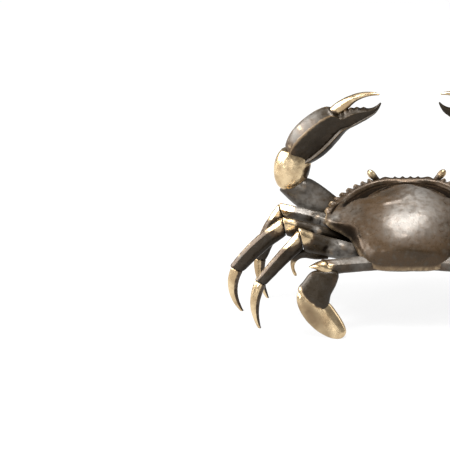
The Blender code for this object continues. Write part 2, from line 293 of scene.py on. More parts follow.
def through(values, share):
    """A smooth run through a start, a middle and an end value."""
    start, middle, end = values
    rest = 1 - share
    return start * rest * (1 - 2 * share) + 4 * middle * share * rest + end * share * (2 * share - 1)


def stations(start, end, heights, depths, bow=(0, 0, 0), start_cut=None, end_cut=None, swells=()):
    """Loops from start to end: centre, direction, height and depth.

    bow is how far the middle stands off the straight run. Near a joint the loops turn to its cut.
    swells are places along the limb where it is thicker: a share, a width and a gain.
    """
    start, end, bow = at(*start), at(*end), Vector(bow) * MM
    made = []
    for share in LOOP_SHARES:
        centre = start.lerp(end, share) + bow * (4 * share * (1 - share))
        along = (end - start + bow * (4 - 8 * share)).normalized()
        direction = along
        for cut, distance, side in ((start_cut, share, 1), (end_cut, 1 - share, -1)):
            if cut is not None and distance < JOINT_TURN:
                weight = 1.0 - distance / JOINT_TURN
                direction = (cut * weight + along * (1 - weight)).normalized()
                centre = centre + direction * (CAST_GAP / 2 * side * weight)
        height, depth = through(heights, share) * MM, through(depths, share) * MM
        for place, width, gain in swells:
            more = 1.0 + gain * math.exp(-(((share - place) / width) ** 2))
            height, depth = height * more, depth * more
        made.append((centre, direction, height / abs(direction.dot(along)), depth))
    return made


def between(before, joint, after):
    """The plane that two pieces share where a limb bends."""
    first = (Vector(joint) - Vector(before)).normalized()
    second = (Vector(after) - Vector(joint)).normalized()
    return (first + second).normalized()


print("a middle value", through((4.0, 6.0, 5.0), 0.5))

# %% [markdown]
# At a joint the real casting has a fine dark seam between two rounded lips. So the loop at a joint
# becomes three: a smaller one on the joint's plane, and two that open up to the full size. The open
# end is filled, and the fill is inset so that it stays flat when the cage is smoothed.

# %% Bridge the loops into a limb
# Steps in from the joint, in millimetres, and the share of the full size there.
LIP = ((0.0, 0.86), (0.28, 0.965), (0.95, 1.0))
CAP_INSET = 0.3


def lip(row, inwards):
    """The three loops of a lip, from the joint inwards."""
    centre, along, height, depth = row
    return [
        (centre + along * (inwards * step * MM), along, height * share, depth * share)
        for step, share in LIP
    ]


def with_lips(rows, first_lip, last_lip):
    """Rows with the loop at each lipped end drawn in over three steps."""
    rows = list(rows)
    if first_lip:
        rows[:1] = lip(rows[0], 1)
    if last_lip:
        rows[-1:] = lip(rows[-1], -1)[::-1]
    return rows


def limb(name, rows, section=OVAL, like=UP, ridges=(), first_lip=True, last_lip=True, levels=3):
    """A closed limb through rows of loops. ridges are pairs of a point's number and its sharpness."""
    piece = open_piece(name)
    rows = with_lips(rows, first_lip, last_lip)
    sides = len(section)
    for number, (centre, along, height, depth) in enumerate(rows):
        add_loop(piece, centre, along, height, depth, like, section)
        if number:
            select_rings(piece, number - 1, number, sides)
            bpy.ops.mesh.bridge_edge_loops()
    for end in (0, len(rows) - 1):
        select_rings(piece, end, end, sides)
        bpy.ops.mesh.edge_face_add()
        bpy.ops.mesh.inset(thickness=min(rows[end][2], rows[end][3]) * CAP_INSET)
    for slot, sharpness in ridges:
        select_points(piece, lambda p: p.index < len(rows) * sides and p.index % sides == slot)
        bpy.ops.transform.edge_crease(value=sharpness)
    return close_piece(piece, levels)


print("limb builder ready")

# %% [markdown]
# ## Uneven like a casting
# A wax model is worked by hand before it is cast, so no surface is quite even. A Displace modifier
# with a clouds texture moves the surface by a few tenths of a millimetre, in real geometry, so that
# highlights and outlines waver as they do on the real thing. Single lumps, where wax was pressed on,
# are pushed out one by one along the surface's own direction.

# %% Roughen a piece and raise lumps
def roughen(piece, size, depth):
    """Waves of one size, in millimetres, and of a depth from crest to hollow."""
    clouds = bpy.data.textures.new(piece.name + "_clouds", "CLOUDS")
    clouds.noise_scale = size * MM
    clouds.noise_depth = 2
    wave = piece.modifiers.new("uneven casting", "DISPLACE")
    wave.texture = clouds
    wave.texture_coords = "LOCAL"
    wave.strength = depth * MM
    wave.mid_level = 0.5
    apply_modifiers(piece)


def read_points(mesh, field="co"):
    values = np.empty(len(mesh.vertices) * 3)
    mesh.vertices.foreach_get(field, values)
    return values.reshape(-1, 3)


def write_points(mesh, points):
    mesh.vertices.foreach_set("co", points.ravel())
    mesh.update()


def raise_lumps(piece, lumps):
    """Pushes the surface out in small lumps, each a place, a radius and a height in millimetres."""
    points, normals = read_points(piece.data), read_points(piece.data, "normal")
    for place, radius, height in lumps:
        distance = np.linalg.norm(points - np.array(place), axis=1) / (radius * MM)
        points += normals * (height * MM * np.exp(-(distance**2)))[:, None]
    write_points(piece.data, points)


print("casting helpers ready")

# %% [markdown]
# Bare metal shows where fingers and cloth reach, on ridges and knuckles, and the patina stays dark
# in the hollows. That is measured on the finished mesh: each point is compared with a smoothed copy
# of the surface, and how far it stands proud of it is kept as an attribute that the finish reads.

# %% Read the relief
MOST_PASSES = 60


def smoothed(mesh, points, passes):
    """Each point drawn to the middle of its neighbours, several times."""
    ends = np.empty(len(mesh.edges) * 2, int)
    mesh.edges.foreach_get("vertices", ends)
    here, there = np.concatenate((ends, ends.reshape(-1, 2)[:, ::-1].ravel())).reshape(-1, 2).T
    neighbours = np.maximum(np.bincount(here, minlength=len(points)), 1)
    for _ in range(passes):
        sums = [np.bincount(here, points[there, axis], len(points)) for axis in range(3)]
        points = np.stack(sums, 1) / neighbours[:, None]
    return points


def keep_value(piece, name, values):
    attribute = piece.data.attributes.new(name, "FLOAT", "POINT")
    attribute.data.foreach_set("value", np.clip(values, 0.0, 1.0).astype(np.float32))


def read_relief(piece, reach, proud, sunk):
    """Keeps ridge and recess, each from 0 to 1: how far a point stands off the surface around it.

    reach is how far around it is compared, proud and sunk are the full values, in millimetres.
    """
    mesh = piece.data
    points = read_points(mesh)
    ends = np.empty(len(mesh.edges) * 2, int)
    mesh.edges.foreach_get("vertices", ends)
    edge = np.median(np.linalg.norm(points[ends[::2]] - points[ends[1::2]], axis=1)) / MM
    passes = int(min(max(round((reach / edge) ** 2), 1), MOST_PASSES))
    lift = ((points - smoothed(mesh, points, passes)) * read_points(mesh, "normal")).sum(1) / MM
    middle = np.median(lift)
    keep_value(piece, "ridge", (lift - middle) / proud)
    keep_value(piece, "recess", (middle - lift) / sunk)


print("relief helpers ready")

# %% [markdown]
# Three more attributes are laid, as a finisher would with a cloth and a brush: how bare the brass is,
# where a sheen is painted pale grey, and where shade is painted dark. Each is a start value for the
# whole piece, with round spots of more or less at chosen places, and a share that depends on where the
# face looks: bare brass reaches the faces towards one side, on the shins also as a painted highlight,
# and painted shade covers those that look away from the lights.

# %% Lay bareness, pale patina and grime
def spotted(piece, start, spots):
    """A value for each point: a start, and spots of place, radius in millimetres and change."""
    points = read_points(piece.data)
    values = np.zeros(len(points)) + start
    for place, radius, change in spots:
        distance = np.linalg.norm(points - np.array(place), axis=1) / (radius * MM)
        values += change * np.clip(1.2 - distance, 0.0, 1.0)
    return values


def towards(piece, side):
    """How far each point looks to a side: 1 straight to it, -1 straight away."""
    return read_points(piece.data, "normal") @ np.array(side.normalized())


def lay_bare(piece, start, spots=(), side=UP, more=0.0):
    """Keeps how bare the brass is. Faces towards side get more, and those that look away less."""
    keep_value(piece, "bare", spotted(piece, start, spots) + more * towards(piece, side))


def lay_tone(piece, sheen_spots=(), painted_shade=0.0, shade_spots=(), away_from=None):
    """Keeps where a sheen is painted pale, and where shade is painted dark. With away_from, painted
    shade covers the faces that look away from a side, the side the light comes from. It is gone on those
    that look half way towards it.
    """
    keep_value(piece, "pale", spotted(piece, 0.0, sheen_spots))
    if away_from is not None:
        painted_shade = painted_shade + 0.8 * np.clip(0.75 - towards(piece, away_from) * 1.5, 0.0, 1.0)
    keep_value(piece, "painted_shade", spotted(piece, painted_shade, shade_spots))


print("finisher's helpers ready")

# %% [markdown]
# ## Two finishes from one recipe
# Bronze that is patinated and then polished has two faces. Where the patina holds, the metal is nearly
# black-brown, with greyer and redder clouds. It is only partly a metal: over the brown it mirrors white
# things in white. Where it is rubbed off, pale brass shows, with brown stains left in the pits. One
# recipe makes both, since the border between them is the interesting part: the attribute `bare` says how
# far a place is rubbed, noise makes the border ragged, and ridges clear before recesses do. In hollows
# and where shade is painted the surface is dull and nearly black, and where a sheen is painted the
# patina is pale grey.

# %% Small node helpers
def link(tree, source, target):
    tree.links.new(source, target)
    return target


def noise(tree, size, detail=3.0, shift=0.0):
    """Noise with spots of a size in millimetres, in the piece's own coordinates."""
    made = tree.nodes.new("ShaderNodeTexNoise")
    made.inputs["Scale"].default_value = 1.0 / (size * MM)
    made.inputs["Detail"].default_value = detail
    place = tree.nodes.new("ShaderNodeMapping")
    place.inputs["Location"].default_value = (shift, shift * 2, shift * 3)
    coordinates = tree.nodes.new("ShaderNodeTexCoord")
    link(tree, coordinates.outputs["Object"], place.inputs["Vector"])
    link(tree, place.outputs["Vector"], made.inputs["Vector"])
    return made.outputs["Fac"]


def kept(tree, name):
    """The value of an attribute that the piece keeps."""
    reader = tree.nodes.new("ShaderNodeAttribute")
    reader.attribute_name = name
    return reader.outputs["Fac"]


def between_levels(tree, value, low, high, start=0.0, end=1.0, smooth=True):
    """Turns the run of a value from low to high into a run from start to end."""
    level = tree.nodes.new("ShaderNodeMapRange")
    level.interpolation_type = "SMOOTHSTEP" if smooth else "LINEAR"
    level.inputs["From Min"].default_value = low
    level.inputs["From Max"].default_value = high
    level.inputs["To Min"].default_value = start
    level.inputs["To Max"].default_value = end
    link(tree, value, level.inputs["Value"])
    return level.outputs["Result"]


def mix(tree, share, first, second):
    """first where share is 0 and second where it is 1. Each is a colour or another node's output."""
    made = tree.nodes.new("ShaderNodeMix")
    made.data_type = "RGBA"
    link(tree, share, made.inputs[0])
    for colour, socket in ((first, made.inputs[6]), (second, made.inputs[7])):
        if isinstance(colour, tuple):
            socket.default_value = (*colour, 1.0)
        else:
            link(tree, colour, socket)
    return made.outputs[2]


def combine(tree, operation, first, second):
    made = tree.nodes.new("ShaderNodeMath")
    made.operation = operation
    for value, socket in ((first, made.inputs[0]), (second, made.inputs[1])):
        if isinstance(value, (int, float)):
            socket.default_value = value
        else:
            link(tree, value, socket)
    return made.outputs[0]


print("node helpers ready")

# %% Colour of the patina
PATINA_DARK = (0.026, 0.018, 0.010)
PATINA_BROWN = (0.052, 0.031, 0.015)
PATINA_GREY = (0.042, 0.036, 0.029)
# A pale grey that paints sheen on the patina, where highlights lie.
PAINTED_SHEEN_GREY = (0.155, 0.142, 0.126)
RUBBED_BROWN = (0.20, 0.135, 0.075)
# The black of the patina in the hollows, which also paints the shade.
HOLLOW_AND_SHADE_BLACK = (0.009, 0.006, 0.004)


def patina_colour(tree, broad, patch, hollow_and_shade):
    """Dark where it is untouched, brown where it is handled, with grey patches, rubbed ridges, a painted
    pale sheen, and black in the hollows and the painted shade.
    """
    brown = combine(tree, "ADD", kept(tree, "bare"), between_levels(tree, broad, 0.3, 0.7, -0.15, 0.15))
    colour = mix(tree, between_levels(tree, brown, 0.05, 0.35), PATINA_DARK, PATINA_BROWN)
    colour = mix(tree, between_levels(tree, patch, 0.50, 0.72, 0.0, 0.6), colour, PATINA_GREY)
    rubbed = between_levels(tree, kept(tree, "ridge"), 0.4, 1.0, 0.0, 0.7)
    colour = mix(tree, rubbed, colour, RUBBED_BROWN)
    uneven = between_levels(tree, patch, 0.3, 0.6, 0.45, 1.0)
    colour = mix(tree, combine(tree, "MULTIPLY", kept(tree, "pale"), uneven), colour, PAINTED_SHEEN_GREY)
    return mix(tree, combine(tree, "MULTIPLY", hollow_and_shade, 0.9), colour, HOLLOW_AND_SHADE_BLACK)


print("patina colours ready")

# %% Colour and reach of the brass
BRASS_PALE = (0.72, 0.56, 0.345)
BRASS_DEEP = (0.42, 0.30, 0.17)
# Brown of the stains in the brass, which also paints the shade on brass pieces.
BRASS_STAIN_AND_SHADE = (0.13, 0.085, 0.048)


def brass_colour(tree, broad, patch, hollow_and_shade):
    """Pale and deeper clouds, with brown stains in patches, and brown in the hollows and the painted
    shade.
    """
    colour = mix(tree, between_levels(tree, broad, 0.35, 0.65), BRASS_PALE, BRASS_DEEP)
    stains_and_shade = combine(tree, "MULTIPLY", between_levels(tree, patch, 0.62, 0.76), 0.6)
    stains_and_shade = combine(tree, "MAXIMUM", stains_and_shade, combine(tree, "MULTIPLY", hollow_and_shade, 0.85))
    return mix(tree, stains_and_shade, colour, BRASS_STAIN_AND_SHADE)


def brass_shows(tree, patch):
    """1 where the brass is bare: the value laid by hand, with a ragged border, sooner on ridges."""
    reach = combine(tree, "ADD", kept(tree, "bare"), between_levels(tree, patch, 0.3, 0.7, -0.10, 0.10))
    on_ridge = between_levels(tree, kept(tree, "ridge"), 0.4, 1.0, 0.0, 0.12)
    return between_levels(tree, combine(tree, "ADD", reach, on_ridge), 0.40, 0.76)


print("brass colours ready")

# %% The bronze recipe
PATINA_METAL = 0.25
PATINA_ROUGHNESS = 0.30
BRASS_ROUGHNESS = 0.24
PATINA_MIRROR = 0.32
MIRROR_TINT = (1.0, 0.98, 0.955, 1.0)


def gloss(tree, patch, shows, hollow_and_shade):
    """The roughness: patina is duller than brass, painted sheen a little more, and hollows and painted
    shade by far.
    """
    dull = between_levels(tree, patch, 0.3, 0.7, PATINA_ROUGHNESS - 0.05, PATINA_ROUGHNESS + 0.06)
    dull = combine(tree, "ADD", dull, combine(tree, "MULTIPLY", kept(tree, "pale"), 0.05))
    bright = between_levels(tree, patch, 0.3, 0.7, BRASS_ROUGHNESS - 0.04, BRASS_ROUGHNESS + 0.06)
    both = tree.nodes.new("ShaderNodeMix")
    for value, socket in ((shows, both.inputs[0]), (dull, both.inputs[2]), (bright, both.inputs[3])):
        link(tree, value, socket)
    return combine(tree, "MAXIMUM", both.outputs[0], combine(tree, "MULTIPLY", hollow_and_shade, 0.55))


def bronze(name):
    finish = bpy.data.materials.new(name)
    finish.use_nodes = True
    tree = finish.node_tree
    shader = tree.nodes["Principled BSDF"]
    broad, patch, grain = noise(tree, 11.0, 4.0), noise(tree, 3.2, 4.0, 0.3), noise(tree, 0.8, 2.0, 0.6)
    in_recess = between_levels(tree, kept(tree, "recess"), 0.2, 1.0)
    # Dark patina in the hollows, and the painted shade.
    hollow_and_shade = combine(tree, "MAXIMUM", in_recess, kept(tree, "painted_shade"))
    shows = brass_shows(tree, patch)

    patina, brass = patina_colour(tree, broad, patch, hollow_and_shade), brass_colour(tree, broad, patch, hollow_and_shade)
    link(tree, mix(tree, shows, patina, brass), shader.inputs["Base Color"])
    metal = combine(tree, "ADD", combine(tree, "MULTIPLY", hollow_and_shade, 1.0 - PATINA_METAL), PATINA_METAL)
    link(tree, combine(tree, "MAXIMUM", shows, metal), shader.inputs["Metallic"])
    link(tree, gloss(tree, patch, shows, hollow_and_shade), shader.inputs["Roughness"])
    shader.inputs["Specular IOR Level"].default_value = PATINA_MIRROR
    shader.inputs["Specular Tint"].default_value = MIRROR_TINT

    fine = combine(tree, "MULTIPLY", grain, 0.25)
    bump = tree.nodes.new("ShaderNodeBump")
    bump.inputs["Strength"].default_value = 0.25
    bump.inputs["Distance"].default_value = 0.3 * MM
    pitted = combine(tree, "ADD", combine(tree, "MULTIPLY", patch, 0.6), fine)
    link(tree, pitted, bump.inputs["Height"])
    link(tree, bump.outputs["Normal"], shader.inputs["Normal"])
    return finish


FINISHES = {name: bronze(name) for name in ("dark_bronze", "worn_brass")}
print("finishes", sorted(FINISHES))

# %% [markdown]
# ## Handing a piece over
# Each finished piece gets its material, takes the place of its CAD node, and rides on the casting's
# one body. The crab is the same on both sides, so its limbs are modelled on the left. A copy is
# mirrored in edit mode, which keeps the object unscaled, and its normals are turned back outwards.
# The right claw was raised a little further out than the left, more so towards its fingers.

# %% Settle a piece and mirror it
RIGHT_CLAW_REACH = 4.5
REACH_STARTS, REACH_FULL = 55.0, 101.5


def settle(piece, slot, node):
    """Gives a finished piece its finish, the body it rides on and the CAD node that it replaces."""
    if "pale" not in piece.data.attributes:
        lay_tone(piece)
    piece.data.materials.clear()
    piece.data.materials.append(FINISHES[slot])
    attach(piece, "root")
    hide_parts(node)


def mirrored(piece, name, reaches=False):
    """A copy on the crab's right."""
    bpy.ops.object.select_all(action="DESELECT")
    piece.select_set(True)
    bpy.context.view_layer.objects.active = piece
    bpy.ops.object.duplicate()
    twin = bpy.context.object
    twin.name = name
    twin.data.name = name
    bpy.ops.object.mode_set(mode="EDIT")
    bpy.ops.mesh.select_all(action="SELECT")
    bpy.ops.transform.resize(value=(-1.0, 1.0, 1.0), center_override=(0.0, 0.0, 0.0))
    bpy.ops.mesh.normals_make_consistent(inside=False)
    bpy.ops.object.mode_set(mode="OBJECT")
    if reaches:
        points = read_points(twin.data)
        share = np.clip((points[:, 2] / MM - REACH_STARTS) / (REACH_FULL - REACH_STARTS), 0.0, 1.0)
        points[:, 0] += RIGHT_CLAW_REACH * MM * share**1.7
        write_points(twin.data, points)
    return twin


def both_sides(piece, slot, node, reaches=False):
    """Settles a left piece and its twin. Names end in _left, and so does the node's."""
    twin = mirrored(piece, piece.name.replace("_left", "_right"), reaches)
    settle(piece, slot, node + "_left")
    settle(twin, slot, node + "_right")


print("ready to model")

# %% [markdown]
# ## The shell
# The shell is one broad dome with a rolled edge. In front it is notched with small round teeth, and
# a deep groove runs behind them. A grid that follows the edge is the natural way to make it, since
# both the groove and the teeth follow the edge too. It starts as a flat wheel: a circle whose edge is
# extruded and drawn in, ring after ring, and closed in the middle, once for the back and once for
# the underside. No operator can raise a dome with a groove in one go, so each point then reads its
# own place on the wheel, as a share of the way out and a turn from the front, and moves to where a
# formula puts it.

# %% A wheel of rings
def draw_in(shares, drop=0.0):
    """Extrudes the selected ring inwards through shares of the radius and closes it."""
    now = 1.0
    for number, share in enumerate(shares):
        step = {"value": (0.0, 0.0, 0.0 if number else -drop)}
        bpy.ops.mesh.extrude_edges_move(TRANSFORM_OT_translate=step)
        scale = share / now
        bpy.ops.transform.resize(value=(scale, scale, 1.0), center_override=(0.0, 0.0, 0.0))
        now = share
    bpy.ops.mesh.merge(type="CENTER")


def wheel(name, sides, upper, lower):
    """A closed flat wheel. Its lower side is one metre down, so that each point tells its side."""
    piece = open_piece(name)
    bpy.ops.mesh.primitive_circle_add(vertices=sides, radius=1.0, location=(0.0, 0.0, 0.0))
    draw_in(upper)
    select_points(piece, lambda point: point.index < sides)
    draw_in(lower, drop=1.0)
    bpy.ops.mesh.select_all(action="SELECT")
    bpy.ops.object.mode_set(mode="OBJECT")
    return piece


def along_curve(stops, wanted):
    """Reads a smooth curve through stops, pairs of a place and a value, at many places."""
    places, values = np.array(stops, float).T
    slopes = np.gradient(values, places)
    index = np.clip(np.searchsorted(places, wanted, side="right") - 1, 0, len(places) - 2)
    width = places[index + 1] - places[index]
    t = np.clip((wanted - places[index]) / width, 0.0, 1.0)
    first = values[index] * (1 + 2 * t) * (1 - t) ** 2 + slopes[index] * width * t * (1 - t) ** 2
    return first + values[index + 1] * t**2 * (3 - 2 * t) + slopes[index + 1] * width * t**2 * (t - 1)


def smooth_steps(value, low, high):
    """0 up to low, 1 from high on, and a soft run in between."""
    t = np.clip((value - low) / (high - low), 0.0, 1.0)
    return t * t * (3 - 2 * t)


def hump(value, middle, width):
    """1 at the middle, falling off smoothly."""
    return np.exp(-(((value - middle) / width) ** 2))


print("curve check", along_curve(((0, 0), (1, 1), (2, 4)), np.array([0.5, 1.5])).round(2))

# %% [markdown]
# The outline is the edge of the real shell, drawn through a few corners as a smooth closed curve. It
# is widest at a spine on each side, and behind the spine it swings in to leave room for the legs.

# %% The shell's outline
SHELL_OUTLINE = (
    (0.0, 41.0), (15.0, 40.5), (28.0, 36.5), (40.5, 28.0), (50.0, 18.0), (54.2, 8.5), (54.8, 1.0),
    (52.0, -4.0), (45.0, -7.8), (38.0, -13.8), (34.0, -21.5), (30.0, -29.5), (22.0, -36.6), (0.0, -38.0),
)


def closed_curve(corners, steps):
    """Points on a smooth closed curve, with so many steps from each corner to the next."""
    points = []
    for i in range(len(corners)):
        a, b, c, d = (corners[(i + k) % len(corners)] for k in (-1, 0, 1, 2))
        for step in range(steps):
            t = step / steps
            bend, twist = 2 * a - 5 * b + 4 * c - d, 3 * b - a - 3 * c + d
            points.append(0.5 * (2 * b + (c - a) * t + bend * t**2 + twist * t**3))
    return points


outline_corners = [Vector(place) for place in SHELL_OUTLINE]
outline_corners += [Vector((-x, forward)) for x, forward in SHELL_OUTLINE[-2:0:-1]]
outline_points = closed_curve(outline_corners, 24)
outline_turns = np.array([math.atan2(point.x, point.y) for point in outline_points])
outline_radii = np.array([point.length for point in outline_points])
by_turn = np.argsort(outline_turns)


def outline_radius(turn):
    """The outline's radius at turns from the front."""
    return np.interp(turn, outline_turns[by_turn], outline_radii[by_turn], period=2 * math.pi)


print("half width", round(float(outline_radius(math.radians(80))), 1), "mm")

# %% [markdown]
# Heights are read from curves too. In front the dome falls into a groove, wide at the sides and
# narrow in the middle, and behind the groove the rim rises again. Behind the spines there is neither
# groove nor rim: an oval dome ends in a rounded wall, and the edge droops beside the legs and rolls
# down over the tail.

# %% Heights of the shell
# Each pair is a share of the way out and the height there.
SIDE_HEIGHTS = (
    (0.0, 15.4), (0.20, 15.2), (0.34, 14.4), (0.46, 12.4), (0.55, 9.6), (0.62, 6.4), (0.67, 4.0),
    (0.72, 2.4), (0.77, 1.4), (0.81, 0.9), (0.835, 1.1), (0.86, 2.1), (0.885, 2.9), (0.92, 3.1),
    (0.96, 2.3), (1.0, -0.5),
)
FRONT_HEIGHTS = (
    (0.0, 15.4), (0.20, 15.2), (0.34, 14.6), (0.48, 13.0), (0.60, 10.4), (0.70, 6.8), (0.74, 4.8),
    (0.77, 2.9), (0.79, 1.9), (0.805, 1.9), (0.83, 2.7), (0.87, 3.1), (0.93, 3.0), (0.97, 2.0),
    (0.985, 1.2), (1.0, -0.5),
)
DOME_HEIGHTS = (
    (0.0, 15.4), (0.2, 15.15), (0.34, 14.35), (0.58, 11.8), (0.74, 9.2), (0.86, 6.7), (1.0, 3.6),
    (1.3, -4.0),
)
WALL_HEIGHTS = (
    (0.6, 38.0), (0.80, 20.0), (0.88, 13.0), (0.93, 8.6), (0.965, 5.2), (0.985, 2.7), (1.0, -0.5),
)
# How far the rear dome reaches across, ahead and behind before it is down to its share 1.
DOME_REACH = (52.0, 42.0, 41.0)
# How far the rim's lower edge lies below the level of the outline, and how far inside it.
RIM_UNDER, RIM_INSIDE = 1.8, 1.0
# The droop of the edge and its roll over the tail, and the turns between which they lie.
SIDE_DROOP, DROOP_TURNS = 2.0, (82.0, 164.0)
REAR_ROLL, ROLL_TURNS = 5.5, (128.0, 160.0)


def front_heights(share, turn):
    """The groove is narrow in the middle and near the spines, and wide between them."""
    degrees = np.degrees(np.abs(turn))
    narrow = np.maximum(hump(degrees, 0.0, 20.0), smooth_steps(degrees, 56.0, 76.0))
    return along_curve(SIDE_HEIGHTS, share) * (1 - narrow) + along_curve(FRONT_HEIGHTS, share) * narrow


def rear_heights(x, forward, share):
    """The lower of an oval dome and a wall along the edge, with a soft corner between them."""
    across, ahead, behind = DOME_REACH
    far_out = np.hypot(x / across, forward / np.where(forward > 0, ahead, behind))
    return -np.logaddexp(-along_curve(DOME_HEIGHTS, far_out), -along_curve(WALL_HEIGHTS, share))


def frontness(turn, share):
    """1 in front and 0 behind. At the edge it changes at the spine, further in over a wider turn."""
    soft = 14.0 + 46.0 * (1.0 - smooth_steps(share, 0.55, 0.88))
    middle = 75.0 + 12.0 * smooth_steps(share, 0.86, 0.93)
    return smooth_steps(middle + soft / 2 - np.degrees(np.abs(turn)), 0.0, soft)


def droop(turn):
    """How far the edge hangs behind the widest point, before it rises to the tail."""
    start, end = DROOP_TURNS
    part = (np.degrees(np.abs(turn)) - start) / (end - start)
    return SIDE_DROOP * np.where((part > 0) & (part < 1), np.sin(np.pi * np.clip(part, 0, 1)), 0.0)


def rear_roll(turn):
    """How far the edge rolls down over the tail."""
    return REAR_ROLL * smooth_steps(np.degrees(np.abs(turn)), *ROLL_TURNS)


print("groove and rim in front", along_curve(FRONT_HEIGHTS, np.array([0.8, 0.9])).round(1), "mm")

# %% [markdown]
# The front edge has a row of round teeth from each eye to the widest point, where the last one is a
# short spine. Between the eyes are four small teeth with a wide lobe on each side of them. Each tooth
# pushes the edge out and up. On the back are the marks that divide a crab's shell: short fine ridges
# beside the groove, and a low one that swings over the middle from the left. There are a few low
# swellings too, the strongest next to the spines.

# %% Teeth, ridges and swellings
# Turns from the front in degrees, then how far such teeth reach in millimetres and their width.
SIDE_TEETH = ((34.5, 40.8, 47.3, 54.2, 60.9, 67.1, 72.4), 2.7, 1.7)
FRONT_TEETH = ((3.8, 11.2), 1.4, 1.8)
FRONT_LOBE = ((20.5,), 1.6, 5.0)
SPINE = ((79.0,), 2.6, 3.0)
# Up to the end of the teeth the edge is cut back by this much, which deepens the gaps.
TEETH_END, CUT_BACK = 84.0, 0.7
SWINGING_RIDGE = (
    (-15.6, 3.6), (-9.7, 5.0), (-3.7, 7.2), (1.7, 11.3), (4.4, 18.2), (9.1, 21.0), (15.7, 20.0),
)
# Each ridge of the back is a line of points, a height and a width.
BACK_RIDGES = (
    (SWINGING_RIDGE, 0.46, 1.7),
    (((-37.0, 10.5), (-30.5, 14.2)), 0.9, 0.9),
    (((-25.0, 20.0), (-20.0, 24.2), (-13.5, 28.8)), 0.9, 0.9),
    (((37.0, 10.5), (30.5, 14.2)), 0.9, 0.9),
    (((25.0, 20.0), (20.0, 24.2), (13.5, 28.8)), 0.9, 0.9),
)
# Low swellings of the back: across, forward, radius and height.
SWELLINGS = (
    (-5.0, -25.0, 9.0, 0.45), (12.0, -5.0, 9.0, 0.5), (4.4, -10.5, 1.8, -0.15), (12.0, 14.0, 10.0, 0.4),
    (-50.5, -1.0, 4.0, 1.3), (50.5, -1.0, 4.0, 1.3), (-33.0, -19.0, 2.4, 1.1), (33.0, -19.0, 2.4, 1.1),
)


def tooth_reach(turn):
    """How far teeth push the edge out, in millimetres."""
    degrees = np.degrees(np.abs(turn))
    reach = np.zeros_like(turn)
    for turns, most, width in (SIDE_TEETH, FRONT_TEETH, FRONT_LOBE, SPINE):
        for middle in turns:
            reach = np.maximum(reach, most * hump(degrees, middle, width))
    return reach - CUT_BACK * (degrees < TEETH_END)


def ridge_lift(x, y):
    """The low ridges on the back, each a line of points, a height and a width, and the swellings."""
    lift = np.zeros_like(x)
    for line, height, width in BACK_RIDGES:
        nearest = np.full(len(x), 1e9)
        for (x0, y0), (x1, y1) in zip(line, line[1:]):
            run, rise = x1 - x0, y1 - y0
            along = np.clip(((x - x0) * run + (y - y0) * rise) / (run**2 + rise**2), 0, 1)
            nearest = np.minimum(nearest, np.hypot(x - x0 - along * run, y - y0 - along * rise))
        lift += height * np.exp(-((nearest / width) ** 2))
    for x0, y0, radius, height in SWELLINGS:
        lift += height * hump(np.hypot(x - x0, y - y0), 0.0, radius)
    return lift


print("the spine reaches out by", tooth_reach(np.radians(SPINE[0])).round(2), "mm")

# %% Painted shade and the whole surface
def shaded_shell(share, turn):
    """Painted shade: dark in the groove, widest half way to the spine, on the rim in front and on the
    wall behind.
    """
    degrees = np.degrees(np.abs(turn))
    wide = hump(degrees, 52.0, 18.0)
    off = np.abs(share - 0.80 + 0.035 * wide) - (0.014 + 0.055 * wide)
    groove = 0.95 * (1.0 - smooth_steps(off, 0.0, 0.03)) * frontness(turn, share)
    rim = 0.5 * smooth_steps(share, 0.82, 0.86) * hump(degrees, 0.0, 30.0)
    wall = 0.9 * smooth_steps(share, 0.84, 0.92) * hump(degrees, 110.0, 18.0)
    return groove + rim + wall


def shell_surface(share, turn, below):
    """Points of the shell, across, forward and out, from a share of the way out and a turn."""
    radius = outline_radius(turn) * share
    rear = rear_heights(radius * np.sin(turn), radius * np.cos(turn), share)
    out = rear + (front_heights(share, turn) - rear) * frontness(turn, share)
    outer_half = np.clip((share - 0.5) / 0.5, 0, 1)
    out = out - droop(turn) * outer_half - rear_roll(turn) * smooth_steps(share, 0.84, 1.0)
    reach = tooth_reach(turn)
    out = out + np.maximum(reach, 0.0) * 0.45 * hump(share, 0.965, 0.03)
    out = np.where(below, -RIM_UNDER - (droop(turn) + rear_roll(turn)) * outer_half, out)
    radius = radius + reach * smooth_steps(share, 0.90, 0.985) - RIM_INSIDE * below
    x, forward = radius * np.sin(turn), radius * np.cos(turn)
    return x, forward, out + np.where(below, 0.0, ridge_lift(x, forward))


# The print shows the painted shade in the groove.
print("grime in the groove", round(float(shaded_shell(0.8, 0.9)), 2))

# %% Shape the wheel into the shell
SHELL_SIDES = 540
# Rings are closest from the edge to the inner side of the groove.
dome_rings = [0.995, 0.985]
dome_rings += [0.975 - 0.0105 * step for step in range(26)]
dome_rings += [0.69 - 0.03 * step for step in range(23)]
under_rings = [1.0, 0.97, 0.92, 0.80, 0.55, 0.25]


def shape_wheel(piece, surface):
    """Moves each point of a wheel to the place that the surface gives for it."""
    flat = read_points(piece.data)
    share, turn = np.hypot(flat[:, 0], flat[:, 1]), np.arctan2(flat[:, 0], flat[:, 1])
    x, forward, out = surface(share, turn, flat[:, 2] < -0.5)
    cosine, sine = math.cos(BODY_PITCH), math.sin(BODY_PITCH)
    y, z = forward * cosine - out * sine, forward * sine + out * cosine
    points = (np.stack((x, y, z), 1) + np.array(BODY_CENTRE + STANCE)) * MM
    write_points(piece.data, points)
    bpy.ops.object.mode_set(mode="EDIT")
    return close_piece(piece, 0)


carapace = wheel("carapace", SHELL_SIDES, dome_rings, under_rings)
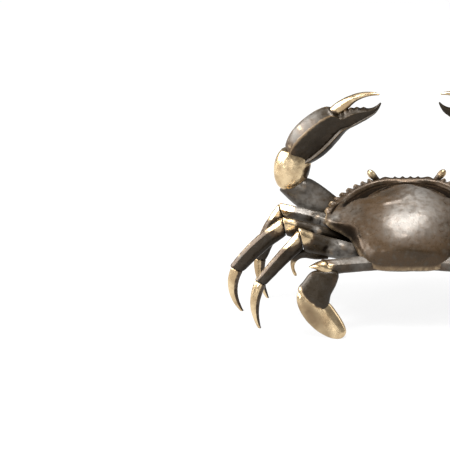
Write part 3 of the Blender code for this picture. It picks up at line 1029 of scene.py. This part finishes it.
# The painted shade follows the wheel's rings, so it is read before the points move.
flat = read_points(carapace.data)
shell_shade = shaded_shell(np.hypot(flat[:, 0], flat[:, 1]), np.arctan2(flat[:, 0], flat[:, 1]))
shell_shade = shell_shade * (flat[:, 2] > -0.5)
carapace = shape_wheel(carapace, shell_surface)
roughen(carapace, 14.0, 0.7)
roughen(carapace, 3.0, 0.16)
read_relief(carapace, 2.0, 1.10, 0.30)
lay_bare(carapace, 0.34)
print("carapace", len(carapace.data.polygons), "faces")

# %% Tone the back
# Places of painted sheen on the back, at the highlight, its halo, beside the groove and by the spines:
# across, forward, out, radius and change.
SHEEN_BACK = (
    (10.0, -2.0, 14.0, 22.0, 0.7), (-4.0, -14.0, 14.0, 15.0, 0.7), (9.0, 16.0, 13.0, 13.0, 0.7),
    (-38.0, 2.0, 9.0, 10.0, 0.35), (38.0, 2.0, 9.0, 10.0, 0.35),
    (-49.0, 0.0, 5.0, 5.5, 0.9), (49.0, 0.0, 5.0, 5.5, 0.9),
)
sheen_back = [(on_shell(*place), radius, change) for *place, radius, change in SHEEN_BACK]
# Painted shade, darker and duller, on both flanks of the back.
flank_shade = [(on_shell(side * 31.0, -7.0, 9.0), 15.0, 0.22) for side in (-1, 1)]
lay_tone(carapace, sheen_back, shell_shade, flank_shade)
settle(carapace, "dark_bronze", "upper_shell")
print("pale places", len(sheen_back), "and dull ones", len(flank_shade))

# %% [markdown]
# ## The belly and the folded tail
# Under the shell the body is drawn in beside the legs and full at the rear. It is the same kind of
# wheel, turned over. A crab carries its tail folded under it: a narrow tongue of short plates, whose
# joints show as grooves across it. The breast on both sides has a groove between each pair of legs.

# %% Shape the belly
BELLY_SIDES = 160
BELLY_RINGS = [0.97 - 0.035 * step for step in range(27)]
# Stops from the rim down to the middle, then the shares of the outline and the levels there.
BELLY_STOPS = (0.0, 0.15, 0.32, 0.5, 0.66, 0.8, 1.0)
BELLY_REAR = tuple(zip(BELLY_STOPS, (0.95, 0.95, 0.94, 0.84, 0.64, 0.46, 0.0)))
BELLY_SIDE = tuple(zip(BELLY_STOPS, (0.80, 0.80, 0.80, 0.76, 0.62, 0.46, 0.0)))
BELLY_LEVEL = tuple(zip(BELLY_STOPS, (0.5, -3.5, -9.0, -13.0, -16.5, -18.6, -19.2)))
# Turns from the front at which the grooves between the legs lie.
LEG_GROOVES = (62.0, 84.0, 106.0, 128.0)


def belly_surface(share, turn, below):
    """The belly hangs from the share 1 at the shell down to 0 in the middle, and its top is flat."""
    down = np.where(below, 1.0 - share, 0.0)
    rear = smooth_steps(np.degrees(np.abs(turn)), 125.0, 150.0)
    reach = along_curve(BELLY_SIDE, down) * (1 - rear) + along_curve(BELLY_REAR, down) * rear
    reach = np.where(below, reach, share * 0.78)
    level = np.where(below, along_curve(BELLY_LEVEL, down), 0.5)
    groove = sum(hump(np.degrees(np.abs(turn)), place, 3.0) for place in LEG_GROOVES)
    level = level + np.where(below, groove * 1.1 * hump(down, 0.72, 0.2), 0.0)
    radius = outline_radius(turn) * reach - groove * 1.6 * hump(down, 0.4, 0.22) * below
    return radius * np.sin(turn), radius * np.cos(turn), level


belly = wheel("belly", BELLY_SIDES, [0.6, 0.3], BELLY_RINGS)
belly = shape_wheel(belly, belly_surface)
roughen(belly, 9.0, 0.5)
read_relief(belly, 2.5, 0.4, 0.25)
lay_bare(belly, 0.30)
settle(belly, "dark_bronze", "under_shell")
print("belly", len(belly.data.polygons), "faces")

# %% Fold the tail under the belly
# Place along the shell, half width and lowest level of the tail, from its root to its tip.
TAIL_STATIONS = (
    (-31.0, 12.0, -14.6), (-25.0, 11.0, -18.0), (-17.0, 9.0, -20.8),
    (-4.0, 6.0, -21.0), (7.0, 2.5, -20.8),
)
TAIL_INSIDE = -12.0
TAIL_JOINTS = (-27.5, -22.5, -17.0, -11.0, -4.5)
FORWARD = Vector((0.0, math.cos(BODY_PITCH), math.sin(BODY_PITCH)))
OUT_OF_BACK = Vector((0.0, -math.sin(BODY_PITCH), math.cos(BODY_PITCH)))

# Loops at both ends of the tail, and four at each joint, the narrow one among them.
tail_places = [-31.0, -29.5, 1.5, 5.0, 7.0]
for joint in TAIL_JOINTS:
    tail_places += [joint - 2.2, joint - 0.5, joint, joint + 0.5]
tail_rows = []
stops, widths, levels = zip(*TAIL_STATIONS)
for place in sorted(tail_places):
    width, low = np.interp(place, stops, widths), np.interp(place, stops, levels)
    shrink = 0.9 if place in TAIL_JOINTS else 1.0
    thick = (TAIL_INSIDE - low) / 2 * shrink
    centre = on_shell(0.0, place, TAIL_INSIDE - thick)
    tail_rows.append((centre, FORWARD, float(width) * shrink * MM, float(thick) * MM))
tail = limb("tail", tail_rows, section=squared(3.2), like=Vector((1.0, 0.0, 0.0)), levels=2)
roughen(tail, 6.0, 0.25)
read_relief(tail, 1.2, 0.3, 0.12)
lay_bare(tail, 0.0)
settle(tail, "dark_bronze", "tail_flap")
print("tail", len(tail.data.polygons), "faces")

# %% [markdown]
# ## Mouth and eyes
# Two plates close the mouth in front, each with a joint across it. The eyes stand on short stalks in
# the notches of the front edge. Their round ends are rubbed to brass, and the stalks stay dark.

# %% Mouthparts
# Level of each loop and its share of the full width. The joint is at the narrow one in the middle.
MOUTH_LOOPS = (
    (-14.5, 0.55), (-12.5, 0.8), (-9.2, 1.0), (-8.7, 1.0),
    (-8.2, 0.9), (-7.7, 1.0), (-5.5, 0.95), (-3.5, 0.8),
)
MOUTH_FORWARD = 29.0
MOUTH_GAP = 0.6
MOUTH_HALF_WIDTH, MOUTH_HALF_DEPTH = 4.2, 5.5

mouth_rows = []
for level, narrow in MOUTH_LOOPS:
    half_width = MOUTH_HALF_WIDTH * narrow
    half_depth = MOUTH_HALF_DEPTH * (0.9 + 0.1 * narrow)
    centre = on_shell(-MOUTH_GAP - half_width, MOUTH_FORWARD, level)
    mouth_rows.append((centre, OUT_OF_BACK, half_width * MM, half_depth * MM))
mouthpart = limb("mouthpart_left", mouth_rows, section=squared(3.0), like=Vector((-1.0, 0.0, 0.0)))
roughen(mouthpart, 5.0, 0.2)
read_relief(mouthpart, 1.2, 0.3, 0.12)
lay_bare(mouthpart, 0.0)
both_sides(mouthpart, "dark_bronze", "mouth_plate")
print("mouth plates from", len(mouth_rows), "loops")

# %% Eye stalks
EYE_BASE = on_shell(-17.5, 37.5, -3.0)
EYE_TIP = on_shell(-24.5, 41.0, 4.6)
EYE_RADII = (
    (0.0, 2.3), (0.4, 2.1), (0.62, 2.2), (0.75, 2.5), (0.9, 2.7), (1.05, 2.5), (1.18, 1.8), (1.26, 0.8),
)
eye_along = (EYE_TIP - EYE_BASE).normalized()
eye_rows = []
for share, radius in EYE_RADII:
    eye_rows.append((EYE_BASE.lerp(EYE_TIP, share), eye_along, radius * MM, radius * MM))
eye_stalk = limb("eye_stalk_left", eye_rows, first_lip=False, last_lip=False)
roughen(eye_stalk, 2.0, 0.12)
read_relief(eye_stalk, 0.8, 0.2, 0.08)
lay_bare(eye_stalk, 0.35, ((EYE_TIP, 3.4, 0.7),))
both_sides(eye_stalk, "worn_brass", "eye")
print("eyes at", [round(c, 4) for c in EYE_TIP])

# %% [markdown]
# ## Claws
# The upper arm comes out from under the shell and rises to the barrel of the wrist, and from there
# the claw leans back over the shell. The claw is flat sided: two ridges run along it, with a broad
# dark face between them. So it is made from loops given by their upper and lower points, with a
# section that has its corners where the ridges are. Its fixed finger is part of the same casting.

# %% Upper arm
SHOULDER, ELBOW, WRIST = (-42.0, 8.0, 55.0), (-78.5, 15.0, 79.5), (-75.5, 16.0, 101.5)
ARM_END = (-77.8, 15.0, 80.3)
arm_rows = stations(
    SHOULDER, ARM_END, (8.5, 11.4, 9.4), (5.6, 6.2, 6.8),
    bow=(0, 0, -1.2), end_cut=between(SHOULDER, ELBOW, WRIST),
)
upper_arm = limb("upper_arm_left", arm_rows, section=squared(2.3))
raise_lumps(upper_arm, ((at(-69.5, 9.0, 80.0), 5.0, 2.2), (at(-80.0, 9.0, 76.5), 4.0, 1.0)))
roughen(upper_arm, 9.0, 0.30)
roughen(upper_arm, 2.5, 0.08)
read_relief(upper_arm, 1.5, 0.35, 0.40)
lay_bare(upper_arm, 0.1)
# Painted sheen, a pale grey, on the arm's broad face.
lay_tone(upper_arm, ((at(-67.0, 8.0, 71.0), 14.0, 1.0),))
both_sides(upper_arm, "dark_bronze", "claw_arm", reaches=True)
print("arm from", len(arm_rows), "loops")

# %% Wrist
# For each loop the x and z of its outer and its inner point, then its y and its half depth.
WRIST_ROWS = (
    (-85.8, 76.4, -69.5, 80.6, 15.0, 7.4), (-88.2, 79.0, -67.6, 84.0, 15.0, 8.4),
    (-90.2, 83.6, -66.0, 88.4, 15.2, 8.9), (-90.8, 89.5, -65.0, 93.0, 15.4, 8.7),
    (-89.9, 95.8, -64.8, 97.6, 15.6, 8.0), (-88.0, 101.0, -65.6, 101.6, 15.8, 7.2),
    (-85.0, 105.0, -68.0, 104.6, 16.0, 6.2),
)


def measured(rows):
    """Loops through their outer and inner points, square to the line between them."""
    made = []
    for x_out, z_out, x_in, z_in, y, depth in rows:
        outer, inner = at(x_out, y, z_out), at(x_in, y, z_in)
        lean = outer - inner
        along = Vector((lean.z, 0.0, -lean.x)).normalized()
        made.append(((outer + inner) / 2, along, lean.length / 2, depth * MM))
    return made


wrist = limb("wrist_left", measured(WRIST_ROWS), section=squared(2.3), like=Vector((-1.0, 0.0, 0.3)))
roughen(wrist, 6.0, 0.5)
roughen(wrist, 2.0, 0.16)
read_relief(wrist, 1.2, 0.3, 0.12)
stains = ((at(-66.0, 10.0, 90.0), 6.0, -0.9), (at(-71.0, 8.0, 79.5), 4.0, -0.7))
lay_bare(wrist, 0.76, stains, Vector((-0.15, -1.0, 0.1)), 0.28)
both_sides(wrist, "worn_brass", "claw_wrist", reaches=True)
print("wrist from", len(WRIST_ROWS), "loops")

# %% Palm with its fixed finger
PALM = (
    (-82.7, 107.1, -66.6, 93.0, 16.0, 6.8), (-80.7, 113.1, -61.4, 95.9, 15.8, 7.6),
    (-75.7, 120.7, -55.2, 99.9, 15.5, 8.4), (-67.7, 128.4, -48.9, 106.2, 15.2, 8.6),
    (-60.1, 133.4, -44.1, 112.8, 15.0, 8.0), (-53.1, 136.5, -40.6, 117.5, 14.6, 7.2),
    (-49.5, 134.5, -38.6, 119.3, 14.3, 6.6), (-46.0, 131.0, -36.5, 121.0, 13.8, 5.8),
    (-43.1, 132.0, -33.5, 122.8, 13.0, 5.2), (-38.0, 135.2, -28.8, 125.6, 12.0, 4.6),
    (-32.9, 135.6, -25.0, 128.6, 10.8, 3.8), (-24.9, 136.2, -20.6, 132.4, 9.2, 2.8),
    (-20.8, 137.7, -17.9, 136.3, 8.0, 1.8), (-17.6, 141.2, -16.4, 140.6, 7.2, 0.8),
)
# The section has its corners at the two ridges that bound the dark face, and a furrow below it.
PALM_SECTION = (
    (1.0, 0.0), (0.86, 0.55), (0.54, 1.0), (0.05, 0.92), (-0.46, 0.78), (-0.60, 0.95),
    (-1.0, 0.1), (-0.8, -0.6), (-0.4, -0.9), (0.0, -1.0), (0.4, -0.9), (0.8, -0.6),
)
UP_AND_LEFT = Vector((-1.0, 0.0, 0.8))
PALM_RIDGES = ((2, 0.85), (4, 0.6), (5, 0.85), (0, 0.3))
# Blunt teeth along the fixed finger's upper edge, as x and z, and their common y.
FINGER_TEETH = ((-43.5, 131.5), (-40.5, 133.6), (-37.0, 135.2), (-33.0, 135.4), (-28.5, 135.8))
TEETH_Y = 11.5

pincer = limb(
    "pincer_left", measured(PALM), section=PALM_SECTION, like=UP_AND_LEFT, ridges=PALM_RIDGES,
    last_lip=False,
)
for x, z in FINGER_TEETH:
    raise_lumps(pincer, ((at(x, TEETH_Y, z), 1.6, 1.1),))
roughen(pincer, 7.0, 0.45)
roughen(pincer, 2.2, 0.14)
read_relief(pincer, 1.2, 0.22, 0.14)
print("pincer", len(pincer.data.polygons), "faces")

# %% Tone the palm
brassy = (
    (at(-78.0, 9.0, 108.0), 5.0, 0.45), (at(-70.0, 9.0, 121.0), 5.0, 0.35),
    (at(-62.0, 9.0, 127.0), 4.0, 0.3), (at(-79.0, 14.0, 113.0), 6.0, 0.4),
    (at(-73.0, 13.0, 122.0), 6.0, 0.36),
)
lay_bare(pincer, 0.0, brassy)
# Painted sheen on the palm's top face. Painted shade below the palm's face, and on the faces that look
# away from the upper left.
palm_sheen = ((at(-76.0, 15.0, 119.0), 9.0, 0.6), (at(-66.0, 15.0, 130.0), 11.0, 0.6))
palm_shade = ((at(-57.8, 8.0, 107.0), 9.0, 0.45),)
lay_tone(pincer, palm_sheen, 0.0, palm_shade, Vector((-1.0, -0.6, 0.8)))
both_sides(pincer, "dark_bronze", "claw_palm", reaches=True)
print("brassy places on the palm", len(brassy))

# %% Moving finger
FINGER = (
    (-53.0, 133.5, -49.0, 127.5, 14.5, 3.8), (-50.2, 135.8, -46.5, 129.8, 14.2, 3.8),
    (-47.0, 138.9, -42.5, 131.6, 13.6, 3.6), (-42.8, 141.8, -38.6, 135.0, 12.9, 3.4),
    (-37.5, 144.7, -34.9, 139.6, 12.0, 3.0), (-31.5, 146.9, -29.8, 143.0, 11.0, 2.6),
    (-26.0, 148.0, -25.4, 144.8, 9.6, 2.2), (-21.2, 148.1, -21.3, 145.9, 8.2, 1.5),
    (-17.8, 147.3, -18.0, 146.2, 7.3, 0.6),
)
finger = limb(
    "pincer_finger_left", measured(FINGER), section=squared(2.2), like=UP_AND_LEFT, last_lip=False,
)
roughen(finger, 5.0, 0.25)
roughen(finger, 1.6, 0.10)
read_relief(finger, 1.0, 0.3, 0.12)
lay_bare(finger, 0.95, ((at(-49.0, 10.0, 131.0), 5.0, -0.9),))
both_sides(finger, "worn_brass", "claw_finger", reaches=True)
print("claw made")

# %% [markdown]
# ## Walking legs
# Three legs on each side have the same build: a thigh that rises to the knee, a flattened shin that
# slopes down and outwards, and a curved toe ending in a point on the floor. Only their sizes and
# places differ, so one function makes a leg from a short plan. Knees are rubbed to brass on top, and
# toes all over. The foot is cut level, so that the casting stands firmly. The sections are ovals with
# a few corners, because the real limbs are filed to soft facets.

# %% Plans of the legs
# Hip, knee, ankle and tip, then the half heights, half depths and bow of each part.
LEGS = {
    "front": {
        "joints": ((-36, -4, 54), (-84, 2, 64.5), (-101, 1, 29.5), (-96, -1, -1)),
        "thigh": ((5.4, 5.4, 5.0), (4.1, 4.2, 3.8), 1.0),
        "shin": ((5.2, 6.0, 4.8), (3.8, 3.6, 3.0), 2.0),
        "toe": ((4.4, 2.9, 0.8), (3.0, 2.2, 0.8), 2.5),
    },
    "middle": {
        "joints": ((-28, -10, 41), (-82, -15, 60.5), (-115, -19, 31), (-112, -21, -1)),
        "thigh": ((5.0, 6.2, 6.2), (4.1, 4.2, 3.8), 2.2),
        "shin": ((6.0, 5.8, 5.0), (3.8, 3.8, 3.2), 2.2),
        "toe": ((4.4, 3.2, 0.8), (3.0, 2.4, 0.8), 5.0),
    },
    "rear": {
        "joints": ((-26, -22.5, 43), (-70, -30, 57.5), (-97, -40, 31), (-98, -46.5, -1)),
        "thigh": ((5.4, 7.0, 7.2), (4.2, 4.4, 4.0), -0.6),
        "shin": ((6.0, 4.8, 4.2), (4.0, 3.8, 3.2), 0.8),
        "toe": ((4.0, 3.2, 0.8), (3.0, 2.4, 0.8), 4.0),
    },
}
print("plans of", sorted(LEGS))

# %% Sections of the legs
LEG_SECTION = (
    (1.0, 0.0), (0.88, 0.5), (0.6, 0.86), (0.1, 1.0), (-0.4, 0.95), (-0.8, 0.65),
    (-1.0, 0.0), (-0.86, -0.5), (-0.5, -0.87), (0.0, -1.0), (0.5, -0.87), (0.86, -0.5),
)
# The front thigh and the swimming arm have a broad flat top.
FLAT_TOP_SECTION = (
    (1.0, 0.0), (0.77, 0.5), (0.52, 1.0), (0.1, 1.02), (-0.4, 0.95), (-0.8, 0.65),
    (-1.0, 0.0), (-0.86, -0.5), (-0.5, -0.87), (0.0, -1.0), (0.5, -0.87), (0.9, -0.5),
)
TOE_SECTION = (
    (1.0, 0.0), (0.78, 0.42), (0.45, 0.72), (0.1, 0.92), (-0.25, 1.0), (-0.62, 0.62),
    (-1.0, 0.0), (-0.85, -0.5), (-0.5, -0.87), (0.0, -1.0), (0.5, -0.87), (0.85, -0.5),
)
print("corners of a section", len(LEG_SECTION))

# %% Lumps and tones of the thighs
# Next to the body the thighs are lumpy, and a painted sheen makes them grey there.
THIGH_LUMPS = {
    "front": ((at(-60.0, -4.0, 62.0), 2.5, 1.3), (at(-55.0, -5.0, 60.0), 2.5, 1.5)),
    "middle": ((at(-59.0, -16.0, 57.0), 2.5, 1.2),),
    "rear": (
        (at(-49.0, -30.0, 50.5), 3.5, 1.4), (at(-42.0, -29.0, 51.5), 3.5, 1.8),
        (at(-37.0, -29.0, 48.5), 3.5, 1.4),
    ),
}
# Painted sheen: grey highlights on the lumps next to the body and along the front thigh's top.
THIGH_SHEEN = {
    "front": ((at(-58.0, -5.0, 61.0), 6.0, 1.0), (at(-72.0, -2.0, 67.0), 8.0, 0.8)),
    "middle": ((at(-61.0, -16.0, 58.0), 4.0, 0.8),),
    "rear": ((at(-42.0, -31.0, 50.0), 10.0, 1.8),),
}
# Painted shade, deep under the shell's edge, between the middle and the rear thigh.
THIGH_SHADE = (
    (at(-52.0, -12.0, 52.0), 6.0, 2.5), (at(-44.0, -12.0, 48.0), 8.0, 2.5),
    (at(-35.0, -11.0, 45.0), 9.0, 2.5), (at(-56.0, -30.0, 45.0), 4.0, 0.8),
)
print("lumps", {name: len(lumps) for name, lumps in THIGH_LUMPS.items()})

# %% Helpers for a leg
def outward(start, end):
    """Up and outwards, square to a run on the left side."""
    run = (Vector(end) - Vector(start)).normalized()
    bowed = run.cross(FRONT).normalized()
    return bowed if bowed.x < 0 else -bowed


def level_foot(piece):
    """Cuts a foot level with the floor."""
    bpy.ops.object.mode_set(mode="EDIT")
    bpy.ops.mesh.select_all(action="SELECT")
    bpy.ops.mesh.bisect(
        plane_co=(0.0, 0.0, 0.0), plane_no=(0.0, 0.0, -1.0),
        clear_outer=True, use_fill=True, threshold=1e-6,
    )
    bpy.ops.object.mode_set(mode="OBJECT")


def finish_limb(piece, start, spots=(), side=UP, more=0.0):
    """The unevenness, relief and bareness that all slim limbs share."""
    roughen(piece, 6.0, 0.35)
    roughen(piece, 1.8, 0.12)
    read_relief(piece, 1.0, 0.30, 0.20)
    lay_bare(piece, start, spots, side, more)


# %% [markdown]
# Under the rear thigh the casting has a thin web that ends in a small hanging spur, rubbed to brass.
# It is one more limb, along a bent path, joined to the thigh because both are cast in one.

# %% The spur under the rear thigh
# Path and half height of the web and the spur, as x, z and size, in a plane at one y.
SPUR = (
    (-52.0, 45.5, 2.4), (-60.0, 46.0, 3.6), (-67.0, 47.4, 3.4), (-72.0, 46.4, 3.0), (-75.3, 43.2, 2.4),
    (-76.4, 39.4, 1.5), (-76.2, 35.6, 1.0), (-75.0, 32.4, 1.3), (-74.2, 30.6, 0.8),
)
SPUR_Y = -28.5
SPUR_DEPTH = 0.7
RUBBED_SPUR = (at(-75.5, -28.0, 36.0), 9.0, 1.0)


def with_spur(thigh):
    """Joins a web along the lower side of the thigh, which ends in a small hanging spur."""
    rows = []
    for number, (x, z, size) in enumerate(SPUR):
        before, after = SPUR[max(number - 1, 0)], SPUR[min(number + 1, len(SPUR) - 1)]
        along = Vector((after[0] - before[0], 0.0, after[1] - before[1])).normalized()
        rows.append((at(x, SPUR_Y, z), along, size * MM, SPUR_DEPTH * size * MM))
    spur = limb("spur", rows, like=Vector((-1.0, 0.0, 1.0)), last_lip=False)
    bpy.ops.object.select_all(action="DESELECT")
    spur.select_set(True)
    thigh.select_set(True)
    bpy.context.view_layer.objects.active = thigh
    bpy.ops.object.join()
    return thigh


print("spur hangs to", SPUR[-1][1], "mm")

# %% A thigh
# The thigh is a little thicker next to the knee: a share of its length, a width and a gain.
THIGH_SWELLS = ((0.95, 0.1, 0.06),)
# Where the knee is rubbed, from the middle of the joint.
KNEE_TOP = Vector((2.0, -3.0, 5.0))


def make_thigh(name):
    hip, knee, ankle, _ = LEGS[name]["joints"]
    heights, depths, bow = LEGS[name]["thigh"]
    rows = stations(
        hip, knee, heights, depths, (0, 0, bow), end_cut=between(hip, knee, ankle), swells=THIGH_SWELLS,
    )
    section = FLAT_TOP_SECTION if name == "front" else LEG_SECTION
    thigh = limb(name + "_leg_thigh_left", rows, section=section, ridges=((0, 0.3), (2, 0.7)))
    raise_lumps(thigh, THIGH_LUMPS[name])
    rubbed = [(at(*knee) + KNEE_TOP * MM, 8.5, 1.05)]
    if name == "rear":
        thigh = with_spur(thigh)
        rubbed.append(RUBBED_SPUR)
    finish_limb(thigh, 0.0, rubbed)
    lay_tone(thigh, THIGH_SHEEN[name], 0.0, THIGH_SHADE)
    both_sides(thigh, "dark_bronze", name + "_thigh")
    return thigh


print("the top of a knee lies", round(KNEE_TOP.length, 1), "mm from its middle")

# %% A shin
SHIN_SWELLS = ((0.04, 0.1, 0.05),)
KNEE_CAP = Vector((-4.0, -3.0, 2.0))
# Painted shadow on the rear shin's upper part, below the thigh.
REAR_KNEE_SHADOW = ((at(-81.0, -36.0, 53.0), 7.0, 0.4),)


def make_shin(name):
    """A shin with bare brass and a painted highlight on its upper side, and painted shade on the faces
    that look away.
    """
    hip, knee, ankle, tip = LEGS[name]["joints"]
    heights, depths, bow = LEGS[name]["shin"]
    way = outward(knee, ankle)
    knee_cut, ankle_cut = between(hip, knee, ankle), between(knee, ankle, tip)
    rows = stations(knee, ankle, heights, depths, way * bow, knee_cut, ankle_cut, SHIN_SWELLS)
    shin = limb(name + "_leg_shin_left", rows, section=LEG_SECTION, like=way, ridges=((2, 0.5),))
    # Faces that look up and outwards get bare brass, worn, and also a painted highlight along the top.
    finish_limb(shin, -0.14, ((at(*knee) + KNEE_CAP * MM, 9.0, 0.8),), way, 0.67)
    lay_tone(shin, shade_spots=REAR_KNEE_SHADOW, away_from=way + Vector((0.0, -0.6, 0.0)))
    both_sides(shin, "dark_bronze", name + "_shin")
    return shin


print("the knee cap lies", round(KNEE_CAP.length, 1), "mm from the knee's middle")

# %% A toe
def make_toe(name):
    """A bent toe, cut level at the floor."""
    _, knee, ankle, tip = LEGS[name]["joints"]
    heights, depths, bow = LEGS[name]["toe"]
    way = outward(ankle, tip)
    rows = stations(ankle, tip, heights, depths, way * bow, between(knee, ankle, tip))
    toe = limb(
        name + "_leg_toe_left", rows, section=TOE_SECTION, like=way, ridges=((4, 0.8),), last_lip=False,
    )
    finish_limb(toe, 0.56, (), way + Vector((0.0, -0.5, 0.0)), 0.62)
    level_foot(toe)
    both_sides(toe, "worn_brass", name + "_toe")
    return toe


print("parts of a leg ready")

# %% Make the legs
for name in LEGS:
    made = make_thigh(name), make_shin(name), make_toe(name)
    print(name, [len(piece.data.polygons) for piece in made])

# %% [markdown]
# ## Swimming legs
# The last pair are paddles: an arm along the edge of the body, a brass wedge at its elbow, then a
# broad plate and an oval paddle, both flat and leaning back as they go down. A flat piece is a stack
# of outlines. Each one keeps the outline's shape but lies closer to a spine in its middle, so that
# the faces on both sides of the spine slope down to the edge. The plate overlaps the paddle and lies
# a little further out, away from the crab, so its brass lip stays in sight.

# %% Arm and wedge
SWIM_HIP, SWIM_ELBOW = (-15.0, -34.0, 43.2), (-52.5, -46.0, 45.0)
SWIM_CUT = Vector((-0.78, 0.0, -0.62)).normalized()
WEDGE = (
    (-49.3, 48.0, -48.6, 41.4, -46.5, 4.0), (-52.5, 50.6, -51.3, 40.4, -47.0, 4.4),
    (-56.5, 50.4, -55.5, 42.4, -47.3, 4.0), (-60.5, 48.8, -59.5, 45.2, -47.5, 2.6),
    (-64.2, 46.6, -63.8, 46.0, -48.0, 1.0),
)

swim_rows = stations(
    SWIM_HIP, SWIM_ELBOW, (5.0, 5.2, 4.8), (4.6, 4.6, 3.8), bow=(0, 0, 0.4), end_cut=SWIM_CUT,
)
swim_arm = limb("swimmer_arm_left", swim_rows, section=FLAT_TOP_SECTION, ridges=((2, 0.6),))
finish_limb(swim_arm, 0.24, ((at(-50.0, -50.0, 48.0), 4.0, 0.5),))
# Painted highlights along the top of the arm.
lay_tone(swim_arm, ((at(-31.0, -39.0, 49.0), 9.0, 1.0), (at(-44.0, -44.0, 50.0), 6.0, 0.5)))
both_sides(swim_arm, "dark_bronze", "swimming_arm")

# The wedge's loops follow each other the other way than those of the claw, so along is turned round.
wedge_rows = [(centre, -along, height, depth) for centre, along, height, depth in measured(WEDGE)]
wedge = limb("swimmer_wedge_left", wedge_rows, section=squared(2.2), last_lip=False)
finish_limb(wedge, 0.95)
both_sides(wedge, "worn_brass", "swimming_wedge")
print("swimming arm and wedge")

# %% A flat piece from outlines
PLATE_OUTLINE = (
    (-61.0, 43.5), (-45.0, 43.0), (-46.0, 34.5), (-49.8, 27.5), (-51.5, 20.5),
    (-57.5, 18.5), (-68.0, 26.0), (-71.6, 31.5), (-67.5, 37.0),
)
PADDLE_OUTLINE = (
    (-70.5, 30.0), (-72.4, 23.0), (-68.2, 13.5), (-60.0, 5.0), (-52.0, 0.6),
    (-44.0, -1.0), (-39.4, 4.6), (-44.8, 15.0), (-52.8, 24.5), (-61.0, 24.5),
)
# The pieces lean back by this much for each millimetre of height, from their foot's y.
LEAN = 0.3
LEAN_FOOT = -60.0
ACROSS_LEAN = Vector((0.0, 1.0, -LEAN)).normalized()
# Rows of a flat piece: the share of the way to the spine, and of the half thickness, from the back.
FLAT_ROWS = (
    (0.90, -1.0), (0.62, -0.95), (0.34, -0.84), (0.14, -0.66), (0.03, -0.40), (0.0, -0.08),
    (0.0, 0.24), (0.04, 0.52), (0.2, 0.78), (0.5, 0.94), (0.9, 1.0),
)


def towards_spine(place, spine, share):
    """A place on the flat outline, moved by a share of its way to the nearest point of the spine."""
    start, end = Vector(spine[0]), Vector(spine[1])
    along = (place - start).dot(end - start) / (end - start).length_squared
    return place.lerp(start.lerp(end, min(max(along, 0.0), 1.0)), share)


def flat_piece(name, outline, spine, thickness, back):
    """A flat piece with a raised spine, a segment given by its two ends, x and z.

    back moves the whole piece across the lean, away from the crab, in millimetres.
    """
    corners = closed_curve([Vector(place) for place in outline], 3)
    piece = open_piece(name)
    for number, (share, level) in enumerate(FLAT_ROWS):
        bpy.ops.mesh.primitive_circle_add(vertices=len(corners), radius=0.01)
        mesh = bmesh.from_edit_mesh(piece.data)
        lift = ACROSS_LEAN * ((thickness / 2 * level - back) * MM)
        for point, corner in zip([v for v in mesh.verts if v.select], corners):
            x, z = towards_spine(corner, spine, share)
            point.co = at(x, LEAN_FOOT + LEAN * z, z) + lift
        bmesh.update_edit_mesh(piece.data)
        if number:
            select_rings(piece, number - 1, number, len(corners))
            bpy.ops.mesh.bridge_edge_loops()
    for end_row in (0, len(FLAT_ROWS) - 1):
        select_rings(piece, end_row, end_row, len(corners))
        bpy.ops.mesh.edge_face_add()
    return close_piece(piece, 2)


print("outlines in a flat piece", len(FLAT_ROWS))

# %% Plate and paddle
plate = flat_piece("swimmer_plate_left", PLATE_OUTLINE, ((-54.0, 40.0), (-60.0, 27.0)), 8.6, 0.9)
LIP_PLACES = ((-71.0, 32.0), (-69.5, 28.0), (-66.5, 24.5), (-62.5, 21.5), (-58.0, 18.8))
lip_spots = [(at(x, LEAN_FOOT + LEAN * z - 3.5, z), 3.4, 1.0) for x, z in LIP_PLACES]
finish_limb(plate, 0.10, lip_spots)
both_sides(plate, "dark_bronze", "swimming_plate")

swimmer = flat_piece("swimmer_paddle_left", PADDLE_OUTLINE, ((-58.0, 23.0), (-44.5, 4.0)), 6.4, -0.6)
finish_limb(swimmer, 0.85)
# Painted shade on the lower left of the paddle, which faces away from the lights.
paddle_shade = (
    (at(-66.0, -57.0, 19.0), 9.0, 0.9),
    (at(-60.0, -59.0, 10.0), 9.0, 0.9),
    (at(-52.0, -61.0, 3.0), 5.0, 0.6),
)
lay_tone(swimmer, shade_spots=paddle_shade)
level_foot(swimmer)
both_sides(swimmer, "worn_brass", "paddle")
print("paddles made")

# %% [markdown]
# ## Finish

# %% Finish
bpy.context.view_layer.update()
